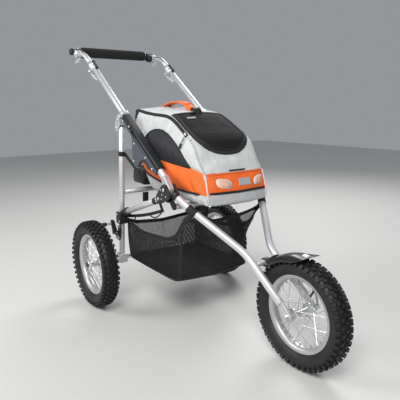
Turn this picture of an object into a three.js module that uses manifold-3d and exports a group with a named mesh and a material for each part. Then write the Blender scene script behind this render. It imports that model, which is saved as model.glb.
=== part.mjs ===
// A three-wheeled pet stroller: folding aluminium frame, adjustable handlebar, lift-off soft carrier.
// Millimetres, +X forward, +Y left, +Z up. The design frame has x = 0 at the rear axle and z = 0 on the
// floor; the last lines shift it so that the origin is under the middle of the whole stroller.
import * as THREE from 'three';
import { mergeVertices } from 'three/addons/utils/BufferGeometryUtils.js';
import Module from 'manifold-3d';

const wasm = await Module();
wasm.setup();

// ---- driving dimensions ----
const WHEEL_R = 156;
const TYRE_HALF_WIDTH = 28;
const RIM_R = 108.3;
const WHEELBASE = 721;
const REAR_TRACK_HALF = 285;
const FRAME_Y = 168;
const POST_Y = 175;
const TUBE_R = 11;
const TUBE_BORE = 9.4;
const POST_R = 10;
const GAP = 0.3;
const BAR = { x: -368, z: 928, r: 10, foamR: 20 };
const TILT_PIVOT = { x: -336, z: 916 };
const UPPER_PIVOT = { x: 331, z: 459 };
const LOWER_PIVOT = { x: 299, z: 428 };
const PIVOT_BOLT_R = 5;
const HANDLE_SLOPE = -0.73;
const HANDLE_REF = { x: 328, z: 477 };
const FORK_Y = 50;
const FORK_BAR = { x: 584, z: 264, r: 8 };
const BASKET_HALF = 148;
const CLOTH = 3;
const FACETS = 12;

// ---- places along the handle tube ----
const handleAt = (x) => new THREE.Vector3(x, FRAME_Y, HANDLE_REF.z + HANDLE_SLOPE * (x - HANDLE_REF.x));
const HANDLE_DIR = new THREE.Vector3(1, 0, HANDLE_SLOPE).normalize();
const HANDLE_UP = new THREE.Vector3(-HANDLE_DIR.z, 0, HANDLE_DIR.x);

// ---- materials ----
function finish(color, roughness, metalness) {
  return new THREE.MeshStandardMaterial({ color, roughness, metalness });
}
const ALLOY = finish(0xc9cacb, 0.32, 0.95);
const CHROME = finish(0xd8dadd, 0.12, 1.0);
const BLACK_PLASTIC = finish(0x17181a, 0.5, 0.0);
const GREY_PLASTIC = finish(0x4d5259, 0.45, 0.0);
const GLOSS_BLACK = finish(0x101113, 0.18, 0.0);
const FOAM = finish(0x1d1d1f, 0.9, 0.0);
const TYRE = finish(0x161616, 0.85, 0.0);
const BAG_CLOTH = finish(0xc3c5c6, 0.8, 0.0);
const MESH_CLOTH = finish(0x1b1c1e, 0.85, 0.0);
const ORANGE_CLOTH = finish(0xf0662a, 0.75, 0.0);

// ---- solids and booleans ----
function solidOf(geometry) {
  const bare = new THREE.BufferGeometry();
  bare.setAttribute('position', geometry.getAttribute('position').clone());
  if (geometry.index) bare.setIndex(geometry.index.clone());
  const merged = mergeVertices(bare, 1e-3);
  return new wasm.Manifold(new wasm.Mesh({
    numProp: 3,
    vertProperties: new Float32Array(merged.attributes.position.array),
    triVerts: new Uint32Array(merged.index.array),
  }));
}

function geometryOf(solid) {
  const mesh = solid.getMesh();
  const geometry = new THREE.BufferGeometry();
  geometry.setAttribute('position', new THREE.BufferAttribute(new Float32Array(mesh.vertProperties), 3));
  geometry.setIndex(new THREE.BufferAttribute(new Uint32Array(mesh.triVerts), 1));
  geometry.computeVertexNormals();
  return geometry;
}

const join = (first, ...rest) => geometryOf(rest.reduce((s, g) => s.add(solidOf(g)), solidOf(first)));
const cut = (first, ...tools) => geometryOf(tools.reduce((s, g) => s.subtract(solidOf(g)), solidOf(first)));
const common = (first, second) => geometryOf(solidOf(first).intersect(solidOf(second)));

// The same shape on the other side of the stroller, with its faces still pointing out.
function mirrored(geometry) {
  const flat = geometry.index ? geometry.toNonIndexed() : geometry.clone();
  const p = flat.getAttribute('position');
  for (let i = 0; i < p.count; i += 3) {
    const a = [p.getX(i + 1), p.getY(i + 1), p.getZ(i + 1)];
    p.setXYZ(i + 1, p.getX(i + 2), p.getY(i + 2), p.getZ(i + 2));
    p.setXYZ(i + 2, ...a);
  }
  return flat.scale(1, -1, 1);
}

// ---- outlines ----
const ring2 = (x, z, r, sides) => Array.from({ length: sides }, (_, i) => {
  const a = 2 * Math.PI * i / sides;
  return new THREE.Vector2(x + r * Math.cos(a), z + r * Math.sin(a));
});

function withHole(shape, x, z, r, sides = 12) {
  shape.holes.push(new THREE.Path(ring2(x, z, r, sides).reverse()));
  return shape;
}

// The radius of a faceted hole whose flats still clear a round bar of radius r.
const clear = (r, sides) => (r + GAP) / Math.cos(Math.PI / sides);

function discShape(r, sides, bore = 0) {
  const shape = new THREE.Shape(ring2(0, 0, r, sides));
  return bore > 0 ? withHole(shape, 0, 0, bore, sides) : shape;
}

// A rectangle with its corners cut to three points each.
function roundedRect(w, h, r) {
  const corners = [[1, 1], [-1, 1], [-1, -1], [1, -1]];
  return new THREE.Shape(corners.flatMap(([sx, sy], i) => [0, 1, 2].map((k) => {
    const a = Math.PI / 2 * (i + k / 2);
    return new THREE.Vector2(sx * (w / 2 - r) + r * Math.cos(a), sy * (h / 2 - r) + r * Math.sin(a));
  })));
}

// The outline that a tight band round the given circles would take: each is [x, z, r].
function bandOutline(circles, sides = FACETS) {
  const points = circles.flatMap(([x, z, r]) => Array.from({ length: sides }, (_, i) => {
    const a = 2 * Math.PI * i / sides;
    return [x + r * Math.cos(a), z + r * Math.sin(a)];
  })).sort((p, q) => p[0] - q[0] || p[1] - q[1]);
  const turn = (o, p, q) => (p[0] - o[0]) * (q[1] - o[1]) - (p[1] - o[1]) * (q[0] - o[0]);
  const chain = (list) => list.reduce((hull, p) => {
    while (hull.length > 1 && turn(hull.at(-2), hull.at(-1), p) <= 1e-6) hull.pop();
    return [...hull, p];
  }, []);
  return [...chain(points).slice(0, -1), ...chain([...points].reverse()).slice(0, -1)];
}

// A shape from [x, z] corners, always run anticlockwise so that its holes turn the other way.
function outlineShape(points) {
  const ring = points.map(([x, z]) => new THREE.Vector2(x, z));
  return new THREE.Shape(THREE.ShapeUtils.isClockWise(ring) ? ring.reverse() : ring);
}

// ---- swept and turned pieces ----
// A plate whose outline is drawn in x and z, and which fills y0 to y1.
function plate(shape, y0, y1) {
  const g = new THREE.ExtrudeGeometry(shape, { depth: y1 - y0, bevelEnabled: false });
  return g.rotateX(Math.PI / 2).translate(0, y1, 0);
}

// A straight bar of the given section between two points; up gives the section's second axis.
function bar(shape, from, to, up = new THREE.Vector3(0.31, 0.05, 0.95)) {
  const w = to.clone().sub(from);
  const length = w.length();
  w.normalize();
  const v = up.clone().addScaledVector(w, -up.dot(w)).normalize();
  const u = v.clone().cross(w);
  const g = new THREE.ExtrudeGeometry(shape, { depth: length, bevelEnabled: false });
  return g.applyMatrix4(new THREE.Matrix4().makeBasis(u, v, w).setPosition(from));
}

const v3 = (x, y, z) => new THREE.Vector3(x, y, z);
const rodAcross = (r, x, z, y0, y1, sides = FACETS) => bar(discShape(r, sides), v3(x, y0, z), v3(x, y1, z));

// A rod across one side of the stroller only: side is 1 on the left and -1 on the right.
const rodOnSide = (r, x, z, side, inner, outer) => (
  rodAcross(r, x, z, Math.min(side * inner, side * outer), Math.max(side * inner, side * outer)));

// A bent bar: straight runs with rounded corners at the inner points.
function bentBar(shape, points, cornerLength, steps) {
  const path = new THREE.CurvePath();
  let at = points[0];
  for (let i = 1; i < points.length - 1; i++) {
    const before = points[i].clone().add(points[i - 1].clone().sub(points[i]).setLength(cornerLength));
    const after = points[i].clone().add(points[i + 1].clone().sub(points[i]).setLength(cornerLength));
    path.add(new THREE.LineCurve3(at, before));
    path.add(new THREE.QuadraticBezierCurve3(before, points[i], after));
    at = after;
  }
  path.add(new THREE.LineCurve3(at, points.at(-1)));
  const even = new THREE.CatmullRomCurve3(path.getSpacedPoints(steps));
  return new THREE.ExtrudeGeometry(shape, { extrudePath: even, steps, bevelEnabled: false });
}

// A turned piece about a line along y through (x, z); the profile is [radius, y] going up the outside.
function turned(profile, x, z, segments) {
  const points = profile.map(([r, y]) => new THREE.Vector2(r, y));
  return new THREE.LatheGeometry(points, segments).translate(x, 0, z);
}

// A closed skin through equal rings of points, with a flat cap at each end, facing out.
function loft(rings) {
  const n = rings[0].length;
  const centre = (ring) => ring.reduce((s, p) => s.add(p), v3(0, 0, 0)).divideScalar(n);
  const all = [...rings.flat(), centre(rings[0]), centre(rings.at(-1))];
  const index = [];
  for (let i = 0; i < rings.length - 1; i++) {
    for (let j = 0; j < n; j++) {
      const a = i * n + j;
      const b = i * n + (j + 1) % n;
      index.push(a, b, b + n, a, b + n, a + n);
    }
  }
  const last = (rings.length - 1) * n;
  for (let j = 0; j < n; j++) {
    const k = (j + 1) % n;
    index.push(rings.length * n, k, j, rings.length * n + 1, last + j, last + k);
  }
  const g = new THREE.BufferGeometry();
  g.setAttribute('position', new THREE.Float32BufferAttribute(all.flatMap((p) => p.toArray()), 3));
  g.setIndex(index);
  return g;
}

// ---- the assembly ----
const stroller = new THREE.Group();

function add(name, geometry, material) {
  const mesh = new THREE.Mesh(geometry, material);
  mesh.name = name;
  stroller.add(mesh);
}

function addPair(name, geometry, material) {
  add(`${name}_left`, geometry, material);
  add(`${name}_right`, mirrored(geometry), material);
}

// ---- wheels ----
const TYRE_PROFILE = [
  [RIM_R + GAP, -15], [118, -26], [138, -TYRE_HALF_WIDTH], [WHEEL_R, -11],
  [WHEEL_R, 11], [138, TYRE_HALF_WIDTH], [118, 26], [RIM_R + GAP, 15], [RIM_R + GAP, -15],
];
const RIM_PROFILE = [[100, -13], [RIM_R, -15], [RIM_R, 15], [100, 13], [96, 6], [96, -6], [100, -13]];
const WHEEL_SEGMENTS = 28;
const SPOKES = 10;
const HUB_BORE = 6.2;

function wheelWithHub(x, hubProfile, flangeY) {
  const rim = turned(RIM_PROFILE, x, WHEEL_R, WHEEL_SEGMENTS);
  const hub = turned(hubProfile, x, WHEEL_R, FACETS);
  const spokes = Array.from({ length: SPOKES }, (_, i) => {
    const a = 2 * Math.PI * (i + 0.5) / SPOKES;
    const side = i % 2 ? 1 : -1;
    const lean = a + side * 0.5;
    const root = v3(x + 17 * Math.cos(lean), side * flangeY, WHEEL_R + 17 * Math.sin(lean));
    const tip = v3(x + 98 * Math.cos(a), side * 2, WHEEL_R + 98 * Math.sin(a));
    return bar(discShape(1.5, 4), root, tip);
  });
  return join(rim, hub, ...spokes);
}

const FRONT_HUB_HALF = 43;
const frontHub = [
  [HUB_BORE, -FRONT_HUB_HALF], [11, -FRONT_HUB_HALF], [21, -33], [21, -29], [10, -25],
  [10, 25], [21, 29], [21, 33], [11, FRONT_HUB_HALF], [HUB_BORE, FRONT_HUB_HALF],
  [HUB_BORE, -FRONT_HUB_HALF],
];
add('front_tyre', turned(TYRE_PROFILE, WHEELBASE, WHEEL_R, WHEEL_SEGMENTS), TYRE);
add('front_rim_and_hub', wheelWithHub(WHEELBASE, frontHub, 31), CHROME);

// The rear hub is blind on its outer side, where a dust cap closes it.
const REAR_CAP_Y = 28;
const rearHub = [
  [0, 22], [HUB_BORE, 22], [HUB_BORE, -27], [11, -27], [21, -23], [21, -19], [10, -15],
  [10, 15], [21, 19], [21, 23], [11, REAR_CAP_Y], [0, REAR_CAP_Y],
];
addPair('rear_tyre', turned(TYRE_PROFILE, 0, WHEEL_R, WHEEL_SEGMENTS).translate(0, REAR_TRACK_HALF, 0), TYRE);
addPair('rear_rim_and_hub', wheelWithHub(0, rearHub, 21).translate(0, REAR_TRACK_HALF, 0), CHROME);

// ---- front fork ----
const dropoutShape = outlineShape(bandOutline([[WHEELBASE, WHEEL_R, 13], [690, 189, 10], [680, 198, 9.8]]));
withHole(dropoutShape, WHEELBASE, WHEEL_R, 5.2);
const dropout = plate(dropoutShape, FORK_Y - 3, FORK_Y + 3);
const forkPath = [v3(361, FRAME_Y, 448), v3(396, 150, 415), v3(550, 49, 288), v3(694, FORK_Y, 186)];
const forkTube = bentBar(discShape(TUBE_R, FACETS, TUBE_BORE), forkPath, 30, 12);
addPair('lower_tube', join(forkTube, dropout), ALLOY);
const FORK_BAR_HALF = 37.8;
add('fork_cross_bar', rodAcross(FORK_BAR.r, FORK_BAR.x, FORK_BAR.z, -FORK_BAR_HALF, FORK_BAR_HALF), ALLOY);

const AXLE_R = 4.8;
const nut = bar(discShape(9, 6), v3(WHEELBASE, -62, WHEEL_R), v3(WHEELBASE, -54, WHEEL_R));
const camBody = bar(discShape(8, 12), v3(WHEELBASE, 54, WHEEL_R), v3(WHEELBASE, 63, WHEEL_R));
add('front_axle', join(rodAcross(AXLE_R, WHEELBASE, WHEEL_R, -66, 62, 12), nut, camBody), CHROME);
const LEVER_PATH = [v3(WHEELBASE, 66.5, 157), v3(WHEELBASE - 4, 68, 182), v3(WHEELBASE - 14, 63.5, 207)];
const leverBlade = bentBar(roundedRect(4.5, 9, 2), LEVER_PATH, 8, 5);
const leverCam = bar(discShape(5.5, 10), v3(WHEELBASE - 6, 69.2, 157), v3(WHEELBASE + 6, 69.2, 157));
add('front_quick_release', join(leverCam, leverBlade), CHROME);

// ---- front mudguard ----
const CROWN_R = 165;
const SKIN = 2.5;
const FENDER_PROFILE = [
  [143, -35], [157, -34], [CROWN_R - 2, -18], [CROWN_R, 0], [CROWN_R - 2, 18], [157, 34], [143, 35],
  [143, 35 - SKIN], [156, 34 - SKIN], [CROWN_R - 2 - SKIN, 16.5], [CROWN_R - SKIN, 0],
  [CROWN_R - 2 - SKIN, -16.5], [156, SKIN - 34], [143, SKIN - 35], [143, -35],
];
const fenderRay = (deg, r) => {
  const a = THREE.MathUtils.degToRad(deg);
  return [WHEELBASE + r * Math.cos(a), WHEEL_R + r * Math.sin(a)];
};
const FENDER_FRONT_DEG = 80;
const FENDER_REAR_DEG = 135.5;
const WEDGE_R = 320;
const fenderWedge = outlineShape([[WHEELBASE, WHEEL_R], fenderRay(FENDER_FRONT_DEG, WEDGE_R),
  fenderRay(105, WEDGE_R), fenderRay(FENDER_REAR_DEG, WEDGE_R)]);
const fenderRing = turned(FENDER_PROFILE, WHEELBASE, WHEEL_R, 36);
add('front_fender', common(fenderRing, plate(fenderWedge, -60, 60)), GLOSS_BLACK);
const clampRing = bar(discShape(13, FACETS, clear(FORK_BAR.r, FACETS)), v3(FORK_BAR.x, -9, FORK_BAR.z),
  v3(FORK_BAR.x, 9, FORK_BAR.z));
const clampTab = plate(outlineShape([fenderRay(140, 168), fenderRay(125, 167), fenderRay(125, 170),
  fenderRay(140, 177)]), -9, 9);
const forkBarBore = bar(discShape(clear(FORK_BAR.r, FACETS), FACETS), v3(FORK_BAR.x, -20, FORK_BAR.z),
  v3(FORK_BAR.x, 20, FORK_BAR.z));
add('fender_clamp', cut(join(clampRing, clampTab), forkBarBore), BLACK_PLASTIC);

// ---- hub connectors: two black cheeks with the two pivot bolts and the fork socket between them ----
const INNER_CHEEK = [150.5, 156];
const OUTER_CHEEK = [182, 188];
const CRADLE = { x: 333, z: 404, r: 9 };
const cheek = ([y0, y1]) => plate(outlineShape(bandOutline([
  [UPPER_PIVOT.x, UPPER_PIVOT.z, 18], [LOWER_PIVOT.x, LOWER_PIVOT.z, 17], [352, 444, 11]])), y0, y1);
const cradleLug = plate(outlineShape(bandOutline([
  [CRADLE.x, CRADLE.z, 11], [LOWER_PIVOT.x + 12, LOWER_PIVOT.z, 10]])), ...INNER_CHEEK);
const socketOutline = bandOutline([[361, 441, 9], [354, 433, 8]]);
const socket = plate(outlineShape(socketOutline), INNER_CHEEK[1] - 1, OUTER_CHEEK[0] + 1);
const bolt = (p) => rodAcross(PIVOT_BOLT_R, p.x, p.z, INNER_CHEEK[1] - 1, OUTER_CHEEK[1] + 4, 12);
const connector = join(cheek(INNER_CHEEK), cheek(OUTER_CHEEK), cradleLug, socket,
  bolt(UPPER_PIVOT), bolt(LOWER_PIVOT));
const socketPath = [forkPath[0].clone().add(v3(-0.5, 0, 0.5)), ...forkPath.slice(1)];
const socketBore = bentBar(discShape(clear(TUBE_R, FACETS) + 0.3, FACETS), socketPath, 30, 12);
addPair('hub_connector', cut(connector, socketBore), BLACK_PLASTIC);
add('cradle_bar', rodAcross(CRADLE.r, CRADLE.x, CRADLE.z, GAP - INNER_CHEEK[0], INNER_CHEEK[0] - GAP), ALLOY);

// ---- handle tubes, rails and plates ----
const eyeShape = outlineShape(bandOutline([[UPPER_PIVOT.x, UPPER_PIVOT.z, 14.5], [311, 489.6, 10.5]]));
withHole(eyeShape, UPPER_PIVOT.x, UPPER_PIVOT.z, PIVOT_BOLT_R + GAP);
const COLLAR_X = -205;
const handleTube = bar(discShape(TUBE_R, FACETS, TUBE_BORE), handleAt(COLLAR_X), handleAt(311));
addPair('handle_tube', join(handleTube, plate(eyeShape, FRAME_Y - 9.8, FRAME_Y + 9.8)), ALLOY);

const CHANNEL_Y = 29;
const CHANNEL_N = 28;
function sleeveShape(width, height) {
  const shape = roundedRect(width, height, 4);
  return withHole(shape, 0, 0, clear(TUBE_R, FACETS), FACETS);
}
const channel = bar(sleeveShape(CHANNEL_Y, CHANNEL_N), handleAt(60), handleAt(283), HANDLE_UP);
addPair('carrier_rail', channel, BLACK_PLASTIC);

const PLATE_Y = [FRAME_Y + CHANNEL_Y / 2 + GAP, FRAME_Y + CHANNEL_Y / 2 + 4.3];
const belowHandle = (x, drop) => [x, handleAt(x).z - drop];
const sidePlate = outlineShape([
  belowHandle(98, -3), belowHandle(98, 10), [124, 628], [133, 600], [133, 556], [141, 520], [155, 511],
  [176, 517], [190, 531], [208, 537], [228, 531], [244, 517], belowHandle(284, 10), belowHandle(284, -3)]);
addPair('side_plate', plate(sidePlate, ...PLATE_Y), GREY_PLASTIC);

// The hook bracket sits round the tube and straddles the top of the rear post.
const HOOK_X = [40, 56];
const hookCollar = bar(sleeveShape(CHANNEL_Y, 25), handleAt(HOOK_X[0]), handleAt(HOOK_X[1]), HANDLE_UP);
const hookOutline = [[38, 684], [22, 664], [12, 640], [14, 626], [24, 621], [50, 646], [47, 664], [56, 674]];
const hookPlate = (y0, y1) => plate(outlineShape(hookOutline), y0, y1);
const hookPad = plate(outlineShape([[38, 684], [32, 676], [46, 668], [53, 675]]), 170, POST_Y + POST_R + 1.4);
const hookBracket = join(hookCollar, hookPlate(POST_Y + POST_R + 0.6, POST_Y + POST_R + 3.8), hookPad,
  hookPlate(160.8, POST_Y - POST_R - 0.6));
const hookBore = bar(discShape(clear(TUBE_R, FACETS), FACETS), handleAt(-40), handleAt(120));
addPair('hook_bracket', cut(hookBracket, hookBore), ALLOY);

// Height clamp: a collar on the top of the handle tube with two ears for its lever.
const clampTop = handleAt(COLLAR_X - 4).addScaledVector(HANDLE_DIR, 2);
const clampEnd = handleAt(COLLAR_X + 30);
const leverPivot = handleAt(-196).addScaledVector(HANDLE_UP, -23);
const ear = (y0, y1) => plate(outlineShape(bandOutline([
  [leverPivot.x, leverPivot.z, 7], [handleAt(-192).x, handleAt(-192).z, 8]])), y0, y1);
const clampBody = join(bar(discShape(15.5, FACETS), clampTop, clampEnd), ear(156, 160.6), ear(175.4, 180));
const clampBore = bar(discShape(clear(TUBE_R, FACETS), FACETS), handleAt(-240), handleAt(-120));
const leverBolt = rodAcross(2.8, leverPivot.x, leverPivot.z, 158, 178, 10);
addPair('height_clamp', join(cut(clampBody, clampBore), leverBolt), BLACK_PLASTIC);
const leverPoint = (along, down) => {
  const p = leverPivot.clone().addScaledVector(HANDLE_DIR, along).addScaledVector(HANDLE_UP, -down);
  return [p.x, p.z];
};
const leverShape = outlineShape([
  leverPoint(-7, 3), leverPoint(-3, -5), leverPoint(10, -5), leverPoint(14, -3),
  leverPoint(60, -5), leverPoint(62, -1), leverPoint(26, 10), leverPoint(0, 8)]);
withHole(leverShape, leverPivot.x, leverPivot.z, 3.1);
addPair('height_lever', plate(leverShape, 161, 175), ALLOY);

// ---- telescopic extension, elbows and handlebar ----
const elbowStart = handleAt(COLLAR_X - 10);
addPair('inner_tube', bar(discShape(TUBE_BORE - 2 * GAP, FACETS, 7.2), elbowStart, handleAt(-62)), ALLOY);
const ELBOW_Y = [162, 182];
const arm = bentBar(roundedRect(20, 18, 5), [elbowStart.clone().addScaledVector(HANDLE_DIR, -1.6).setY(172),
  v3(-262, 172, 909), v3(TILT_PIVOT.x, 172, TILT_PIVOT.z)], 30, 10);
const elbowHub = rodAcross(16, TILT_PIVOT.x, TILT_PIVOT.z, ...ELBOW_Y, 18);
addPair('elbow', cut(join(arm, elbowHub), rodAcross(4.3, TILT_PIVOT.x, TILT_PIVOT.z, 100, 200, 12)), ALLOY);

const headShape = outlineShape(bandOutline([[TILT_PIVOT.x, TILT_PIVOT.z, 16], [BAR.x, BAR.z, 14.5]], 18));
withHole(headShape, BAR.x, BAR.z, clear(BAR.r, FACETS), FACETS);
const headBolt = rodAcross(4, TILT_PIVOT.x, TILT_PIVOT.z, 155, 186, 12);
addPair('handlebar_head', join(plate(headShape, 147, ELBOW_Y[0] - GAP), headBolt), BLACK_PLASTIC);
const coreTube = bar(discShape(BAR.r, FACETS, 8.2), v3(BAR.x, -178, BAR.z), v3(BAR.x, 178, BAR.z));
const endCap = (side) => rodOnSide(13, BAR.x, BAR.z, side, 176, 192);
const capHole = rodAcross(5, BAR.x, BAR.z, -300, 300, 10);
add('handlebar_core', cut(join(coreTube, endCap(1), endCap(-1)), capHole), BLACK_PLASTIC);
const FOAM_HALF = 146;
const foam = bar(discShape(BAR.foamR, FACETS, clear(BAR.r, FACETS)),
  v3(BAR.x, -FOAM_HALF, BAR.z), v3(BAR.x, FOAM_HALF, BAR.z));
add('foam_grip', foam, FOAM);

const triggerShape = outlineShape([
  [-304, 897], [-305, 889], [-320, 880], [-356, 878], [-364, 884], [-350, 891], [-332, 896], [-318, 898.5]]);
addPair('tilt_trigger', plate(triggerShape, 165, 179), ALLOY);

// ---- rear frame ----
const postAt = (z) => v3(-2 + 40 * (z - 172) / 468, POST_Y, z);
addPair('rear_post', bar(discShape(POST_R, FACETS, 8.2), postAt(177.2), postAt(642)), ALLOY);
const footShape = roundedRect(40, 36, 8);
const foot = plate(footShape, POST_Y - 12, POST_Y + 14).translate(0, 0, 157.6);
const REAR_AXLE_R = 8;
addPair('foot_block', cut(foot, rodAcross(REAR_AXLE_R + GAP, 0, WHEEL_R, 100, 240)), ALLOY);
const stub = (side) => rodOnSide(5.8, 0, WHEEL_R, side, 190, 305);
add('rear_axle', join(rodAcross(REAR_AXLE_R, 0, WHEEL_R, -200, 200), stub(1), stub(-1)), CHROME);

const BRACE = { z: 408, r: 9 };
const braceX = postAt(BRACE.z).x;
const BRACE_HALF = POST_Y - POST_R - GAP;
add('rear_brace', rodAcross(BRACE.r, braceX, BRACE.z, -BRACE_HALF, BRACE_HALF), ALLOY);

const SIDE_TUBE_Y = 172;
const sideTubeStart = v3(50, SIDE_TUBE_Y, 341);
const sideTubeEnd = v3(284, SIDE_TUBE_Y, 423);
const sideEye = outlineShape(bandOutline([[LOWER_PIVOT.x, LOWER_PIVOT.z, 13], [280, 421.5, 9.5]]));
withHole(sideEye, LOWER_PIVOT.x, LOWER_PIVOT.z, PIVOT_BOLT_R + GAP);
const sideTube = bar(discShape(POST_R, FACETS, 8.2), sideTubeStart, sideTubeEnd);
addPair('side_tube', join(sideTube, plate(sideEye, SIDE_TUBE_Y - 9, SIDE_TUBE_Y + 9)), ALLOY);

const CLAMP_Z = [290, 334];
const clampMid = postAt((CLAMP_Z[0] + CLAMP_Z[1]) / 2);
const clampBox = new THREE.BoxGeometry(34, 32, CLAMP_Z[1] - CLAMP_Z[0])
  .translate(clampMid.x, POST_Y, clampMid.z);
const clampStub = bar(discShape(13, 14), v3(14, SIDE_TUBE_Y, 328.4),
  sideTubeStart.clone().add(v3(-GAP, 0, -GAP)));
const postBore = bar(discShape(clear(POST_R, FACETS), FACETS), postAt(240), postAt(380));
addPair('lower_clamp', cut(join(clampBox, clampStub), postBore), BLACK_PLASTIC);

// Brake: a bracket on the post carries an upright arm whose pad reaches the tyre's inner wall.
const BRAKE_PIN = { y: 204, z: 262 };
const BRACKET_Y = [POST_Y + POST_R + 0.6, POST_Y + POST_R + 5];
const bracketBand = bandOutline([[3, 238, 12], [12, 272, 13]]);
const brakeLug = (x) => plate(outlineShape([[x - 3, 252], [x + 3, 252], [x + 3, 268], [x - 3, 268]]),
  BRACKET_Y[1] - 1, BRAKE_PIN.y + 5);
const brakePin = bar(discShape(2.8, 8), v3(-8, BRAKE_PIN.y, BRAKE_PIN.z), v3(24, BRAKE_PIN.y, BRAKE_PIN.z));
const bracketPlate = plate(outlineShape(bracketBand), ...BRACKET_Y);
addPair('brake_bracket', join(bracketPlate, brakeLug(-2), brakeLug(18), brakePin), BLACK_PLASTIC);

// A plate drawn in y and z, filling x0 to x1.
function plateAcross(points, x0, x1, hole) {
  const shape = outlineShape(points);
  if (hole) withHole(shape, hole.y, hole.z, 3.2);
  const g = new THREE.ExtrudeGeometry(shape, { depth: x1 - x0, bevelEnabled: false });
  const turn = new THREE.Matrix4().makeBasis(v3(0, 1, 0), v3(0, 0, 1), v3(1, 0, 0));
  return g.applyMatrix4(turn.setPosition(x0, 0, 0));
}
const uprightOutline = bandOutline([[BRAKE_PIN.y, BRAKE_PIN.z, 7], [212, 302, 6]]);
const brakeUpright = plateAcross(uprightOutline, 2, 14, BRAKE_PIN);
const brakePad = bar(roundedRect(14, 12, 3), v3(8, 236, 295), v3(8, 253.5, 295));
const brakeRod = bar(discShape(4, 8), v3(8, 212, 295), v3(8, 240, 295));
addPair('brake_arm', join(brakeUpright, brakeRod, brakePad), BLACK_PLASTIC);

// ---- basket: an open-topped sling of mesh cloth with a firm floor ----
const basketSide = [[3, 292], [19, 161], [326, 161], [350, 301], [335, 297], [236, 290]];
const basketHollow = [[6, 400], [6, 290], [22, 164], [323, 164], [346, 301], [350, 400]];
add('basket', cut(plate(outlineShape(basketSide), -BASKET_HALF, BASKET_HALF),
  plate(outlineShape(basketHollow), CLOTH - BASKET_HALF, BASKET_HALF - CLOTH)), MESH_CLOTH);

// ---- soft carrier: a lofted shell of rounded sections, open under its flap ----
// Each station: x, bottom z, top z, half width at the bottom, at the bulge and at the top edge.
const BAG_STATIONS = [
  { x: 34, bottom: 655, top: 698, base: 108, bulge: 114, roof: 111 },
  { x: 72, bottom: 520, top: 697, base: 110, bulge: 130, roof: 111 },
  { x: 108, bottom: 446, top: 694, base: 112, bulge: 139, roof: 110 },
  { x: 150, bottom: 417, top: 690, base: 114, bulge: 143, roof: 107 },
  { x: 243, bottom: 417, top: 680, base: 116, bulge: 144, roof: 104 },
  { x: 328, bottom: 417, top: 637, base: 117, bulge: 136, roof: 109 },
  { x: 383, bottom: 417, top: 600, base: 117, bulge: 127, roof: 113 },
  { x: 408, bottom: 417, top: 556, base: 117, bulge: 122, roof: 113 },
  { x: 438, bottom: 418, top: 510, base: 116, bulge: 119, roof: 112 },
  { x: 455, bottom: 420, top: 455, base: 115, bulge: 117, roof: 114 },
];
const BAG_MIDDLE_X = 245;

// The half outline of one section, as [share of height, half width]; skin is how far it lies inside.
function bagRing(station, skin) {
  const bottom = station.bottom + skin;
  const top = station.top - 1.3 * skin;
  const x = station.x + Math.sign(BAG_MIDDLE_X - station.x) * 1.2 * skin;
  const half = [
    [0, station.base * 0.9], [0.06, station.base], [0.38, station.bulge], [0.66, station.bulge * 0.985],
    [0.94, station.roof + 4], [1, station.roof - 2],
  ].map(([share, width]) => [width - skin, bottom + share * (top - bottom)]);
  return [...half.map(([y, z]) => v3(x, y, z)), ...half.reverse().map(([y, z]) => v3(x, -y, z))];
}

const bagSolid = (skin) => loft(BAG_STATIONS.map((station) => bagRing(station, skin)));
const bagSkin = cut(bagSolid(0), bagSolid(CLOTH + 1));
const FLAP_BACK = 243;
const FLAP_NOSE = 410;

// The flap's outline from above: straight across the hinge, widening to a round nose at the front.
function flapOutline(inset) {
  const shoulder = { x: 375, y: 106 - inset };
  const reach = FLAP_NOSE - inset - shoulder.x;
  const back = [FLAP_BACK + inset, 93 - inset];
  const nose = Array.from({ length: 11 }, (_, i) => {
    const a = Math.PI * (i / 10 - 0.5);
    return [shoulder.x + reach * Math.cos(a), shoulder.y * Math.sin(a)];
  });
  return [[back[0], -back[1]], ...nose, back];
}
const flapPrism = (inset) => {
  const g = new THREE.ExtrudeGeometry(outlineShape(flapOutline(inset)), { depth: 300, bevelEnabled: false });
  return g.translate(0, 0, 500);
};
add('bag_shell', cut(bagSkin, flapPrism(0)), BAG_CLOTH);
add('mesh_flap', common(bagSkin, flapPrism(1)), MESH_CLOTH);

const PAD = { length: 254, width: 196, thick: 14 };
const innerPad = new THREE.BoxGeometry(PAD.length, PAD.width, PAD.thick).translate(292, 0, 430);
add('inner_pad', innerPad, ORANGE_CLOTH);
const strapPath = [v3(52, 0, 700), v3(90, 0, 716), v3(180, 0, 711), v3(226, 0, 685.5)];
add('carry_strap', bentBar(roundedRect(36, 3, 1), strapPath, 20, 8), ORANGE_CLOTH);
const POUCH_HALF = 118;
const pouchOutline = bandOutline([[-12, 446, 20], [-8, 474, 18], [60, 442, 16], [62, 478, 16]], 10);
add('rear_pouch', plate(outlineShape(pouchOutline), -POUCH_HALF, POUCH_HALF), MESH_CLOTH);

const ZIP_PIVOT = { x: 350, y: 124, z: 620 };
const tabOutline = bandOutline([
  [ZIP_PIVOT.x, ZIP_PIVOT.z - 2, 3.5], [ZIP_PIVOT.x, ZIP_PIVOT.z - 20, 4.5]], 10);
const zipTab = plate(outlineShape(tabOutline), -ZIP_PIVOT.y - 1.2, 1.2 - ZIP_PIVOT.y);
add('zip_pull', zipTab, CHROME);

// ---- origin under the middle of the stroller ----
const FRONT_X = WHEELBASE + WHEEL_R;
const REAR_X = BAR.x - BAR.foamR;
stroller.position.x = -(FRONT_X + REAR_X) / 2;
const part = new THREE.Group();
part.add(stroller);

export default part;
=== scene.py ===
import math
from contextlib import contextmanager
import bmesh
import bpy
import numpy as np
from mathutils import Matrix, Vector, noise
from mathutils.bvhtree import BVHTree
from mathutils.kdtree import KDTree


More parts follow.
